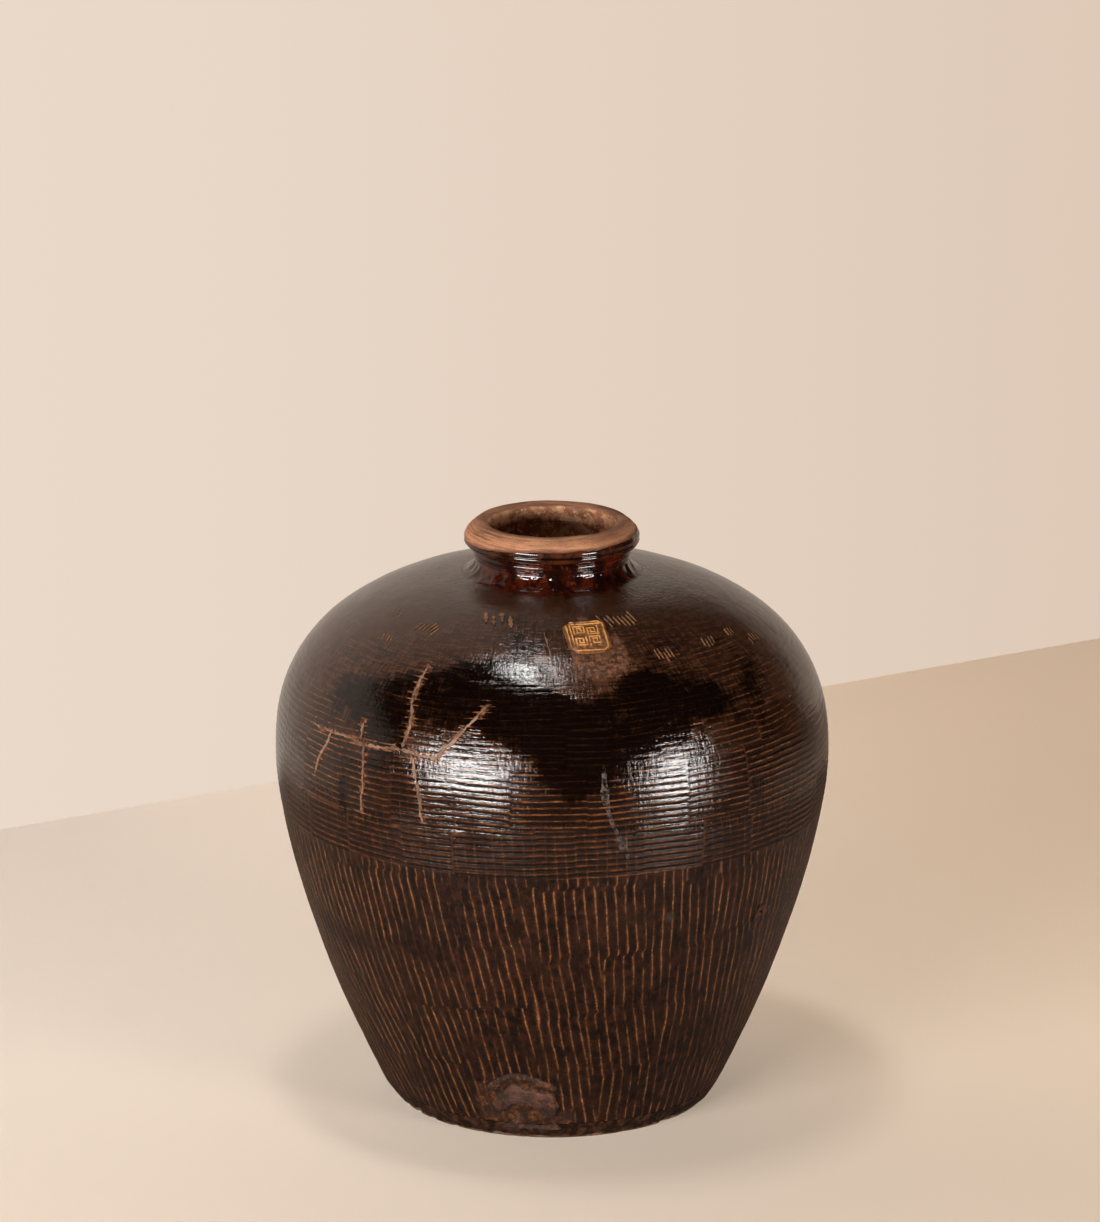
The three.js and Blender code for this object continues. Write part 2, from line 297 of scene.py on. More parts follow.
def foot_clay(coords):
    """Coarse clay with a run of the dark glaze down its side, which stops just above the floor."""
    clay = use(ROUGH_CLAY, coords, (0.20, 0.115, 0.075), (0.055, 0.028, 0.018), 0.4)
    ragged = axes_of(coords)[2] + speckle(coords, 70.0, 4.0, 0.7) * 0.008
    glazed = ease(ragged, 0.0052, 0.0066)
    streaks = speckle(coords, (170, 170, 45), 4.0, 0.7)
    dark = mix(ease(streaks, 0.42, 0.66), (0.012, 0.0045, 0.0025), (0.075, 0.028, 0.011))
    return {
        "Base Color": mix(glazed, clay["Colour"], dark), "Roughness": clay["Roughness"] - glazed * 0.3,
        "IOR": 1.4, "Normal": bump(clay["Height"], 0.7, 0.0009),
    }


def foot_slab():
    spigot = float(wall_radius(SLAB_TOP)) - WALL - 0.001
    bend = np.linspace(0, math.pi / 2, 5)
    edge = [(
        FOOT_EDGE_RADIUS - FOOT_EDGE_BEND + FOOT_EDGE_BEND * math.sin(t),
        FOOT_EDGE_BEND - FOOT_EDGE_BEND * math.cos(t),
    ) for t in bend]
    levels = (0.005, 0.0065, 0.008, 0.0095, 0.011, 0.013, SLAB_TOP)
    side = [(float(wall_radius(z)) - FOOT_SETBACK, z) for z in levels]
    side[0] = (side[0][0] - 0.0012, side[0][1])
    profile = [
        (0, DISH_DEPTH), (DISH_RADIUS * 0.5, DISH_DEPTH), (DISH_RADIUS, DISH_DEPTH),
        (DISH_RADIUS + RING_WIDTH, 0), (0.115, 0), (0.124, 0), *edge, *side,
        (spigot, SLAB_TOP), (spigot, SPIGOT_TOP), (spigot * 0.5, SPIGOT_TOP), (0, SPIGOT_TOP),
    ]
    finishes = [finish("glazed foot clay", foot_clay)]
    mesh = piece("foot_slab", turn(profile, 480, closed=False), finishes, "bare_clay", "base_slab")
    points = points_of(mesh)
    radius, azimuth = polar(points)
    on_edge = ramp(radius, 0.118, 0.012) * ramp(points[:, 2], SLAB_TOP - 0.002, -0.009)
    chips = np.clip(grain(points, 0.011, 3.1) - 0.22, 0, None) * 0.007
    worn = grains(points, (0.0008, 0.03, 7.7), (0.0003, 0.006, 1.2))
    cut_back = FOOT_SHIFT * np.clip(np.sin(-azimuth - 0.25), 0, 1) ** 2
    points[:, :2] *= (1 + on_edge * (worn - chips - cut_back - 0.0008) / np.maximum(radius, 0.01))[:, None]
    points[:, 2] += np.where((points[:, 2] < 0.003) & (radius > 0.1), np.abs(worn) * 0.5, 0)
    set_points(mesh, points)


foot_slab()

# Lower wall: the tapering wall, coiled up on the slab and beaten with a grooved paddle, which left thin
# upright ribs in staggered patches. It is stoneware under a satin brown glaze that broke on the ribs.
WAIST_SEAM = 0.2482
LAP_HEIGHT = 0.009
LUTING_GAP = 0.0003
SHOULDER_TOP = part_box("shoulder_wall")[1].z
UPRIGHT_PITCH = 0.0078
UPRIGHT_DEPTH = 0.0005
LEVEL_PITCH = 0.0052
LEVEL_DEPTH = 0.00045
GLAZE_FILL = 0.00021
CROSS_DEPTH = 0.0002
LUMPS = 0.0006
DUSTY_SHARE = 0.6
POLISH_START = 0.266
POLISH_LENGTH = 0.034
GLAZED_DEPTH = 0.0035
TOLERANCE = 0.00002
SKIN_RADIUS = 0.2
Blow = namedtuple("Blow", "azimuth arc wide tall turn shift force")
dome_heights = BELLY_HEIGHT + (SHOULDER_TOP - BELLY_HEIGHT) * np.sin(np.linspace(0, math.pi / 2, 600))
HEIGHTS = np.concatenate([np.linspace(FOOT_HEIGHT, BELLY_HEIGHT, 1200)[:-1], dome_heights])
ARCS = np.concatenate([[0], np.cumsum(np.hypot(np.diff(wall_radius(HEIGHTS)), np.diff(HEIGHTS)))])


def arc_at(height):
    """Length along the wall's profile from the foot up to a height."""
    return np.interp(height, HEIGHTS, ARCS)


def height_at(arc):
    return np.interp(arc, ARCS, HEIGHTS)


def wall_normal(height):
    """Outward normal of the wall in the half plane of radius and height."""
    step = 0.00005
    slope = (wall_radius(height + step) - wall_radius(height - step)) / (2 * step)
    size = np.hypot(1, slope)
    return 1 / size, -slope / size


def wall_points(arcs, depth=0.0):
    heights = height_at(np.asarray(arcs))
    out, up = wall_normal(heights)
    return list(zip(wall_radius(heights) - depth * out, heights - depth * up))


def wall_line(low, high, step, depth=0.0):
    """Profile points at a depth under the wall's surface, evenly spaced along it."""
    start, end = arc_at(low), arc_at(high)
    return wall_points(np.linspace(start, end, max(2, round(abs(end - start) / step)) + 1), depth)


def paddle_course(low, high, wide, dice, lean=0.0, sway=0.0, overlap=0.9, force=(0.75, 1.0), skip=0.0):
    """One round of paddle blows side by side, each a little off in place, turn and force."""
    radius = float(wall_radius((low + high) / 2))
    count = round(2 * math.pi * radius / (wide * overlap))
    tall = float(arc_at(high) - arc_at(low))
    start = dice.uniform(0, 1)
    blows = []
    for i in range(count):
        if dice.random() < skip:
            continue
        blows.append(Blow(
            (i + start + dice.uniform(-0.12, 0.12)) / count * 2 * math.pi,
            float(arc_at((low + high) / 2)) + dice.uniform(-0.09, 0.09) * tall,
            wide * dice.uniform(0.9, 1.12), tall * dice.uniform(0.92, 1.08),
            math.radians(lean + dice.uniform(-sway, sway)), dice.uniform(-0.5, 0.5), dice.uniform(*force),
        ))
    return blows


def rib_marks(azimuth, arc, radius, blows, pitch, upright, waver, edge=0.003):
    """Cosine and sine of the rib phase at each point, as long as the last blow there was firm."""
    marks = np.zeros((len(arc), 2))
    for blow in blows:
        across = ((azimuth - blow.azimuth + math.pi) % (2 * math.pi) - math.pi) * radius
        up = arc - blow.arc
        near = (np.abs(across) < 0.75 * blow.wide + 0.1 * blow.tall) & (np.abs(up) < 0.75 * blow.tall)
        x, y = across[near], up[near]
        side = x * math.cos(blow.turn) + y * math.sin(blow.turn)
        along = y * math.cos(blow.turn) - x * math.sin(blow.turn)
        inset = np.minimum(blow.wide / 2 - np.abs(side), blow.tall / 2 - np.abs(along))
        share = np.clip(inset / edge + 0.5, 0, 1)[:, None]
        phase = 2 * math.pi * ((side if upright else along) / pitch + blow.shift + waver[near])
        struck = blow.force * np.stack([np.cos(phase), np.sin(phase)], -1)
        marks[near] = marks[near] * (1 - share) + struck * share
    return marks


def spots_on_wall(azimuth, height, spots):
    """Sum of soft spots, each (azimuth in degrees, height, half angle, half height, amount)."""
    total = np.zeros(len(height))
    for at, level, wide, tall, amount in spots:
        turned = (np.degrees(azimuth) - at + 180) % 360 - 180
        total += amount * np.exp(-(turned / wide) ** 2 - ((height - level) / tall) ** 2)
    return total


dice = random.Random(4)
UPRIGHT_BLOWS = [
    *paddle_course(0.004, 0.078, 0.058, dice, lean=6, sway=3),
    *paddle_course(0.062, 0.140, 0.056, dice, lean=9, sway=4),
    *paddle_course(0.122, 0.196, 0.060, dice, lean=9, sway=3.5),
    *paddle_course(0.180, 0.2495, 0.058, dice, lean=6, sway=2.5),
    *paddle_course(0.240, 0.288, 0.044, dice, lean=5, sway=3, force=(0.45, 0.8)),
    *paddle_course(0.284, 0.326, 0.040, dice, lean=1, sway=3, force=(0.2, 0.5), skip=0.5),
]
LEVEL_BLOWS = [
    *paddle_course(0.240, 0.302, 0.066, dice, overlap=0.75, sway=1.5),
    *paddle_course(0.288, 0.345, 0.066, dice, overlap=0.75, sway=2.5),
    *paddle_course(0.336, 0.372, 0.060, dice, overlap=0.75, sway=3, force=(0.45, 0.8)),
    *paddle_course(0.366, 0.394, 0.050, dice, sway=4, force=(0.3, 0.6)),
    *paddle_course(0.388, 0.412, 0.050, dice, sway=4, force=(0.20, 0.50)),
]
SMOOTH_SPOTS = [(-48, 0.392, 12, 0.040, 0.8), (-36, 0.352, 4, 0.010, 0.6), (8, 0.331, 5, 0.013, 0.6)]
POOL_SPOTS = [
    (-43, 0.370, 13, 0.017, 1.1), (-36, 0.348, 5, 0.026, 0.9), (-26, 0.386, 12, 0.014, 1.0),
    (-12, 0.384, 12, 0.020, 1.0), (-2, 0.366, 8, 0.022, 1.0), (7, 0.342, 7, 0.030, 1.2),
    (24, 0.378, 10, 0.022, 1.1), (38, 0.376, 7, 0.014, 0.9), (23, 0.350, 6, 0.010, 0.6),
    (32, 0.338, 3, 0.011, 0.9), (-47, 0.292, 1.6, 0.020, 0.6), (-14, 0.402, 11, 0.008, 0.7),
]
THIN_SPOTS = [
    (-47, 0.336, 6, 0.010, 0.8), (-22, 0.310, 17, 0.013, 1.0), (24, 0.306, 13, 0.014, 0.7),
    (36, 0.330, 5, 0.010, 0.7), (-72, 0.345, 12, 0.045, 0.8), (70, 0.345, 12, 0.045, 0.7),
    (0, 0.260, 400, 0.018, 0.6), (12, 0.402, 7, 0.010, 0.6),
]
DUSTY_SPOTS = [(25.8, 0.207, 2.6, 0.008, 0.9), (23.5, 0.263, 3.0, 0.006, 0.7), (-30, 0.200, 4.0, 0.010, 0.3)]
WORN_SPOTS = [
    (-29, 0.176, 8, 0.016, 0.9), (-52, 0.168, 14, 0.012, 0.8), (18, 0.211, 5, 0.009, 0.8),
    (-8, 0.178, 4, 0.012, 0.5), (0, 0.050, 400, 0.026, 0.35), (40, 0.090, 16, 0.030, 0.5),
    (28, 0.150, 7, 0.012, 0.5), (12, 0.190, 4, 0.010, 0.4),
]


def store(mesh, name, chosen, values):
    """Stores a number or a vector for each chosen point of a mesh, and zero for the others."""
    stored = np.zeros((len(mesh.vertices), *np.shape(values)[1:]), np.float32)
    stored[chosen] = values
    kind, field = ("FLOAT_VECTOR", "vector") if stored.ndim == 2 else ("FLOAT", "value")
    mesh.attributes.new(name, kind, "POINT").data.foreach_set(field, stored.ravel())


def store_spots(mesh, name, outer, azimuth, height, spots):
    store(mesh, name, outer, np.clip(spots_on_wall(azimuth, height, spots), 0, 1))


def face_centres(mesh):
    centres = np.zeros(len(mesh.polygons) * 3)
    mesh.polygons.foreach_get("center", centres)
    centres = centres.reshape(-1, 3)
    return np.hypot(centres[:, 0], centres[:, 1]), centres[:, 2]


def beat(mesh):
    """Beats the paddle marks into the outer surface and stores them for the glaze."""
    points = points_of(mesh)
    radius, azimuth = polar(points)
    outer = np.abs(radius - wall_radius(points[:, 2])) < TOLERANCE
    spot = points[outer]
    radius, azimuth, height = radius[outer], azimuth[outer], spot[:, 2]
    arc = arc_at(height)
    waver = grains(spot, (0.10, 0.022, 5.0), (0.05, 0.009, 9.0))
    upright = rib_marks(azimuth, arc, radius, UPRIGHT_BLOWS, UPRIGHT_PITCH, True, waver)
    level = rib_marks(azimuth, arc, radius, LEVEL_BLOWS, LEVEL_PITCH, False, waver)
    uneven = 1 + grains(spot, (0.6, 0.030, 2.0), (0.3, 0.011, 2.6))
    upright *= np.clip(uneven, 0.15, 1.2)[:, None]
    smoothed = np.clip(spots_on_wall(azimuth, height, SMOOTH_SPOTS), 0, 0.95)
    level *= (np.clip(1 + 0.3 * grain(spot, 0.05, 12.0), 0.4, 1.15) * (1 - smoothed))[:, None]
    above = height > WAIST_SEAM - 0.00001
    level[~above] = 0
    level_size = np.minimum(np.hypot(*level.T), 1)
    upright_size = np.minimum(np.hypot(*upright.T), 1)
    level_off = np.abs(np.arctan2(level[:, 1], level[:, 0])) / math.pi
    upright_off = np.abs(np.arctan2(upright[:, 1], upright[:, 0])) / math.pi
    polish = ramp(height + 0.016 * grain(spot, 0.04, 51.0), POLISH_START, POLISH_LENGTH)
    lift = (GLAZE_FILL * polish - LEVEL_DEPTH) * level_size * (1 - (1 - level_off) ** 2)
    upright_shape = ((1 + np.cos(math.pi * upright_off)) / 2) ** 3
    sunk = UPRIGHT_DEPTH * (1 - upright_size * upright_shape)
    lift -= np.where(above, CROSS_DEPTH * upright_size * upright_off ** 2, sunk)
    lumpy = grains(spot, (1.0, 0.09, 21.0), (0.35, 0.03, 31.0)) - 0.9
    rounds = np.stack([spot[:, 0], spot[:, 1], arc * 2.5], -1)
    lumpy += 0.22 * grain(rounds, 0.019, 61.0) * (arc > arc_at(WAIST_SEAM))
    lift += LUMPS * lumpy * ramp(arc, ARCS[-1], -0.014)
    out, up = wall_normal(height)
    moved = np.minimum(radius + lift * out, BELLY_RADIUS - TOLERANCE)
    points[outer] = around_axis(moved, azimuth, height + lift * up)
    set_points(mesh, points)
    store(mesh, "upright_ribs", outer, np.pad(upright, ((0, 0), (0, 1))))
    store(mesh, "level_ribs", outer, np.pad(level, ((0, 0), (0, 1))))
    store(mesh, "skin_place", outer, around_axis(SKIN_RADIUS, azimuth, arc))
    patches = 0.22 + grains(spot, (0.42, 0.045, 41.0), (0.22, 0.016, 47.0))
    rising = ramp(height, 0.325, 0.05) * ramp(height, 0.405, -0.025)
    pool = patches + 0.25 * rising + spots_on_wall(azimuth, height, POOL_SPOTS)
    pool -= spots_on_wall(azimuth, height, THIN_SPOTS)
    store(mesh, "glaze_pool", outer, np.clip(pool, 0, 1))
    store(mesh, "polish", outer, polish)
    store_spots(mesh, "dusty", outer, azimuth, height, DUSTY_SPOTS)
    store_spots(mesh, "worn", outer, azimuth, height, WORN_SPOTS)
    return outer, azimuth, height, arc


def line_inside(mesh):
    """Gives every face that isn't on the outer surface the bare inner clay."""
    radius, height = face_centres(mesh)
    out, _ = wall_normal(height)
    deep = (wall_radius(height) - radius) * out
    mesh.polygons.foreach_set("material_index", (deep > GLAZED_DEPTH).astype(np.int32))


def largest(first, second):
    return calc(first.tree, "MAXIMUM", first, second)


def attribute(tree, name, output="Fac"):
    return add(tree, "ShaderNodeAttribute", {}, output, attribute_name=name)


def rib_crests(ribs, line_width, flank_width):
    """Reads a rib mark: the thin line on its crest, its flank, its groove and how firm it is."""
    x, y, _ = axes_of(ribs)
    firm = calc(ribs.tree, "SQRT", x * x + y * y)
    off = calc(ribs.tree, "DIVIDE", calc(ribs.tree, "ABSOLUTE", calc(ribs.tree, "ARCTAN2", y, x)), math.pi)
    line = ease(off, 0, line_width, 1, 0)
    return {
        "Line": firm * line, "Flank": firm * ease(off, 0, flank_width, 1, 0),
        "Groove": firm * calc(ribs.tree, "POWER", off, 5.0), "Firm": firm, "Crest": line,
    }


def glaze_grain(coords):
    """Grain of a dark wood-fired glaze: broad clouds, mottling, fine pits and rusty specks."""
    return {
        "Clouds": speckle(coords, 21.0, 4.0, 0.6), "Mottle": speckle(coords, 95.0, 4.0, 0.65),
        "Pits": speckle(coords, 520.0, 3.0, 0.6),
        "Specks": ease(speckle(coords, 430.0, 4.0, 0.75), 0.54, 0.72),
        "Breaks": ease(speckle(coords, 230.0, 4.0, 0.75), 0.40, 0.60),
        "Rust": ease(speckle(coords, 120.0, 5.0, 0.75), 0.48, 0.66),
    }


RIB_CRESTS = group("rib crests", ["Ribs", "Line width", "Flank width"], rib_crests)
GLAZE_GRAIN = group("glaze grain", ["Coords"], glaze_grain)


def brown_glaze(coords):
    tree = coords.tree
    skin = use(GLAZE_GRAIN, coords)
    ribs = use(RIB_CRESTS, attribute(tree, "upright_ribs", "Vector"), 0.26, 0.70)
    place = attribute(tree, "skin_place", "Vector")
    kept = ease(attribute(tree, "worn"), 0.15, 0.75, 1.0, 0.12)
    ground = mix(ease(skin["Clouds"], 0.38, 0.68), (0.0058, 0.0021, 0.0012), (0.0150, 0.0054, 0.0027))
    ground = mix(ease(skin["Mottle"], 0.4, 0.7, 0.0, 0.6), ground, (0.030, 0.0110, 0.0052))
    ground = mix(skin["Rust"] * 0.45, ground, (0.066, 0.0180, 0.0060))
    ground = mix(skin["Specks"] * 0.45, ground, (0.080, 0.026, 0.0090))
    fading = ease(speckle(place, (115, 115, 20), 4.0, 0.7), 0.37, 0.54) * kept
    line = ribs["Line"] * (fading * ease(skin["Breaks"], 0, 1, 0.40, 1.0))
    rusty = skin["Breaks"] * 0.7 + skin["Specks"] * 0.3
    flank = ribs["Flank"] * (fading * rusty)
    colour = mix(flank * 0.75, ground, (0.130, 0.040, 0.0125))
    bright = mix(skin["Specks"], (0.260, 0.100, 0.034), (0.700, 0.360, 0.170))
    colour = mix(line, colour, bright)
    stain = attribute(tree, "stained")
    stained = mix(skin["Rust"], (0.034, 0.0125, 0.0065), (0.185, 0.062, 0.021))
    stained = mix(skin["Specks"] * 0.5, stained, (0.270, 0.110, 0.044))
    colour = mix(ease(stain + skin["Mottle"] * 0.8, 0.68, 1.15, 0.0, 0.85), colour, stained)
    dusty = ease(attribute(tree, "dusty") + skin["Mottle"] * DUSTY_SHARE, 0.8, 1.2)
    bumps = skin["Pits"] * 0.9 + skin["Mottle"] * 0.9 + line * 0.7
    return {
        "Base Color": mix(dusty * 0.85, colour, (0.052, 0.031, 0.023)),
        "Roughness": ease(skin["Pits"], 0.3, 0.75, 0.30, 0.50) + stain * 0.2,
        "IOR": 1.43, "Normal": bump(bumps, 0.6, 0.0005),
    }


def russet_streaks(coords):
    """Red-brown glaze of the neck: black and orange streaks that run downwards."""
    streaks = speckle(coords, (230, 230, 85), 3.0, 0.6)
    bands = speckle(coords, (70, 70, 40), 3.0, 0.6)
    colour = mix(ease(bands, 0.40, 0.64), (0.0120, 0.0028, 0.0016), (0.068, 0.0090, 0.0026))
    colour = mix(ease(streaks, 0.56, 0.70, 0.0, 0.5), colour, (0.170, 0.0300, 0.0070))
    return {
        "Colour": mix(ease(streaks, 0.47, 0.33, 0.0, 0.85), colour, (0.0060, 0.0014, 0.0009)),
        "Height": streaks,
    }


RUSSET = group("russet streaks", ["Coords"], russet_streaks)


def black_glaze(coords):
    """Glossy where it pooled, thin and woven with brush strokes elsewhere, and satin low on the belly."""
    tree = coords.tree
    skin = use(GLAZE_GRAIN, coords)
    level = use(RIB_CRESTS, attribute(tree, "level_ribs", "Vector"), 0.30, 0.75)
    cross = use(RIB_CRESTS, attribute(tree, "upright_ribs", "Vector"), 0.26, 0.6)
    place = attribute(tree, "skin_place", "Vector")
    weave = speckle(place, (60, 60, 420), 3.0, 0.6) * 0.6 + speckle(place, (420, 420, 90), 2.0, 0.6) * 0.4
    polish = attribute(tree, "polish")
    patchy = (0.5 - weave) * 1.7 + attribute(tree, "glaze_pool") + ease(skin["Clouds"], 0.3, 0.7, 0.15, -0.15)
    thin = 1.0 - ease(patchy, 0.15, 0.98, 0.0, 0.97)

    ground = mix(thin, (0.0018, 0.0007, 0.0005), (0.0360, 0.0140, 0.0072))
    woven = ease(weave, 0.44, 0.62) * ease(thin, 0.0, 1.0, 0.03, 0.8)
    ground = mix(woven, ground, (0.0820, 0.0330, 0.0165))
    ground = mix(skin["Specks"] * ease(thin, 0.0, 1.0, 0.25, 0.5), ground, (0.075, 0.020, 0.0075))
    ground = mix(ease(level["Firm"], 0.2, 0.7, 0.0, 0.85), ground, (0.0042, 0.0016, 0.0011))
    colour = mix(level["Flank"] * ease(thin, 0.0, 1.0, 0.05, 0.7), ground, (0.042, 0.0150, 0.0068))
    red_flank = level["Flank"] * skin["Rust"] * ease(thin, 0, 0.6)
    colour = mix(red_flank * 0.8, colour, (0.135, 0.036, 0.0100))
    fading = ease(speckle(place, (30, 30, 170), 4.0, 0.7), 0.36, 0.54)
    broken = ease(skin["Breaks"], 0, 1, 0.22, 1.0) * ease(thin, 0.0, 0.6, 0.10, 1.0) * fading
    gaps = cross["Firm"] * (1.0 - cross["Flank"])
    line = largest(level["Line"] * ease(gaps, 0.1, 0.6, 1.0, 0.3), cross["Line"] * 0.3) * broken
    bright = mix(skin["Specks"], (0.220, 0.084, 0.028), (0.640, 0.320, 0.150))
    colour = mix(line, colour, bright)
    colour = mix(attribute(tree, "neck_runs"), colour, use(RUSSET, coords)["Colour"])
    bare = mix(skin["Breaks"], (0.050, 0.0175, 0.0085), (0.240, 0.098, 0.044))
    scuffed = ease(attribute(tree, "scuffed") + skin["Rust"] * 0.35, 0.35, 1.0)
    scuffed = scuffed * ease(weave, 0.40, 0.56, 0.45, 0.95)
    colour = mix(scuffed, colour, bare)
    nearby = attribute(tree, "chipped") + ease(skin["Mottle"], 0.3, 0.7, -0.22, 0.30)
    chipped = largest(level["Crest"] * ease(nearby, 0.25, 0.75), ease(nearby, 0.72, 1.0, 0.0, 0.7))
    chipped = chipped * ease(skin["Breaks"], 0.0, 1.0, 0.15, 1.0)
    colour = mix(chipped, colour, (0.300, 0.118, 0.046))
    dusty = ease(attribute(tree, "dusty") + skin["Mottle"] * DUSTY_SHARE, 0.8, 1.2)
    colour = mix(dusty * 0.8, colour, (0.055, 0.034, 0.027))

    dull = largest(largest(scuffed, chipped), dusty)
    satin = thin * ease(skin["Clouds"], 0.35, 0.65, 0.08, 0.16)
    rough = ease(skin["Pits"], 0.3, 0.8, 0.04, 0.12) + satin + ease(polish, 0.0, 1.0, 0.20, 0.0) + dull * 0.35
    bumps = skin["Pits"] * 0.5 + skin["Mottle"] * 0.6 + weave * ease(thin, 0.0, 1.0, 0.3, 1.5)
    dented = bump(bumps - level["Groove"] * ease(polish, 0.0, 1.0, 0.9, 0.25), 0.6, 0.0005)
    return {
        "Base Color": colour, "Roughness": rough, "IOR": 1.34, "Normal": dented,
        "Coat Weight": (1.0 - dull) * ease(polish, 0.1, 1.0), "Coat IOR": 1.44, "Coat Roughness": 0.02,
        "Coat Normal": dented,
    }


BROWN_GLAZE = finish("satin brown glaze", brown_glaze)
BLACK_GLAZE = finish("glossy black glaze", black_glaze)
INNER_CLAY = finish("inner clay", plain_clay, (0.20, 0.095, 0.052), (0.07, 0.032, 0.018), 1.0, 0.001)
STAIN_SPOTS = [
    (-10, 0.052, 10, 0.012, 0.75), (-20, 0.028, 6, 0.020, 0.8), (-8, 0.026, 9, 0.016, 0.9),
    (4, 0.018, 5, 0.012, 0.75), (53.5, 0.184, 2.4, 0.009, 0.8), (57, 0.192, 2.6, 0.005, 0.5),
]


def wall_section(name, profile, steps, glaze, node):
    """A beaten section, glazed outside, as (mesh, which points are outer, their azimuths, heights, arcs)."""
    mesh = piece(name, turn(profile, steps), [glaze, INNER_CLAY], "dark_glaze", node)
    beaten = beat(mesh)
    line_inside(mesh)
    return mesh, *beaten


def lower_wall():
    tongue = WAIST_SEAM + LAP_HEIGHT
    inner = wall_line(tongue, SLAB_TOP, 0.03, WALL)
    inner[-1] = (inner[-1][0], SLAB_TOP)
    profile = [
        *wall_line(SLAB_TOP, WAIST_SEAM, 0.0031),
        *wall_points([arc_at(WAIST_SEAM), arc_at(tongue)], WALL / 2), *inner,
    ]
    section = wall_section("lower_wall_ribbed", profile, 1100, BROWN_GLAZE, "lower_wall")
    mesh, outer, azimuth, height, _ = section
    store_spots(mesh, "stained", outer, azimuth, height, STAIN_SPOTS)


lower_wall()

# Belly ring: the widest section, lapped over the lower wall's tongue. It was beaten with a finer paddle
# whose ribs run level, under a glossy near-black glaze, and cross marks of the first paddle show below.
SHOULDER_SEAM = 0.3412
LEDGE = WALL / 2 - LUTING_GAP
CHIPPED_REACH = 0.0090
CRACKS = {
    "joint_crack_filler": [
        (-59.7, 0.3410), (-53.6, 0.3410), (-48.6, 0.3420), (-44.4, 0.3410), (-40.8, 0.3398),
        (-36.2, 0.3414), (-32.9, 0.3424), (-30.3, 0.3420), (-28.3, 0.3402), (-23.3, 0.3402),
    ],
    "upper_crack_filler_long": [
        (-32.6, 0.3440), (-32.2, 0.3494), (-31.8, 0.3590), (-31.9, 0.3680), (-33.2, 0.3760),
        (-33.3, 0.3845), (-33.3, 0.3923), (-33.1, 0.3990),
    ],
    "upper_crack_filler_short": [
        (-23.9, 0.3420), (-23.3, 0.3450), (-22.2, 0.3492), (-20.3, 0.3568), (-18.5, 0.3650),
        (-16.6, 0.3725), (-15.0, 0.3796),
    ],
    "upper_crack_filler_side": [(-43.5, 0.3430), (-43.8, 0.3480), (-44.1, 0.3556)],
    "lower_crack_filler_front": [
        (-30.2, 0.3400), (-29.8, 0.3360), (-29.4, 0.3326), (-28.2, 0.3200), (-27.3, 0.3065),
        (-26.8, 0.2890),
    ],
    "lower_crack_filler_middle": [
        (-42.3, 0.3390), (-42.1, 0.3346), (-41.8, 0.3244), (-41.4, 0.3088), (-41.8, 0.2870),
    ],
    "lower_crack_filler_side": [
        (-52.8, 0.3400), (-53.2, 0.3350), (-53.8, 0.3298), (-55.6, 0.3176), (-56.7, 0.3070),
    ],
}


def crack_line(points, step):
    """Evenly spaced azimuths and arc lengths along a crack."""
    azimuths = np.radians([azimuth for azimuth, _ in points])
    arcs = arc_at(np.array([height for _, height in points]))
    radius = wall_radius(height_at(arcs)).mean()
    lengths = np.concatenate([[0], np.cumsum(np.hypot(np.diff(azimuths) * radius, np.diff(arcs)))])
    along = np.linspace(0, lengths[-1], max(3, round(lengths[-1] / step)))
    return np.interp(along, lengths, azimuths), np.interp(along, lengths, arcs)


def store_chips(mesh, outer, azimuth, height, arc):
    """Stores how near each point is to a crack, where the glaze is chipped."""
    near = np.zeros(len(arc))
    for points in CRACKS.values():
        for at, up in zip(*crack_line(points, 0.003)):
            apart = np.hypot((azimuth - at) * wall_radius(height), arc - up)
            near = np.maximum(near, 1 - apart / CHIPPED_REACH)
    store(mesh, "chipped", outer, np.clip(near, 0, 1))


def belly_ring():
    tongue = SHOULDER_SEAM + LAP_HEIGHT
    profile = [
        *wall_line(WAIST_SEAM, SHOULDER_SEAM, 0.0009),
        *wall_points([arc_at(SHOULDER_SEAM), arc_at(tongue)], WALL / 2),
        *wall_line(tongue, WAIST_SEAM + LAP_HEIGHT, 0.025, WALL),
        *wall_points([arc_at(WAIST_SEAM + LAP_HEIGHT + LUTING_GAP), arc_at(WAIST_SEAM)], LEDGE),
    ]
    store_chips(*wall_section("belly_ring", profile, 900, BLACK_GLAZE, "belly_wall"))


belly_ring()

# Shoulder: the dome that closes in to the neck, lapped over the belly ring. The level ribs fade out on
# it, it has a seat for the neck's flange, and its glaze is scuffed off below the stamped pad.
NECK_RADIUS = 0.0625
FLANGE_RADIUS = 0.073
FLANGE_THICKNESS = 0.005
RIBBED_LENGTH = 0.064
FADING_LENGTH = 0.108
SCUFF_SPOTS = [
    (14.0, 0.4085, 6.5, 0.0055, 1.0), (19.8, 0.4155, 2.4, 0.008, 1.1), (14, 0.402, 8, 0.005, 0.6),
    (12.0, 0.4275, 2.6, 0.0026, 1.2), (13, 0.393, 8, 0.009, 0.35), (6.6, 0.406, 1.2, 0.007, 0.8),
]


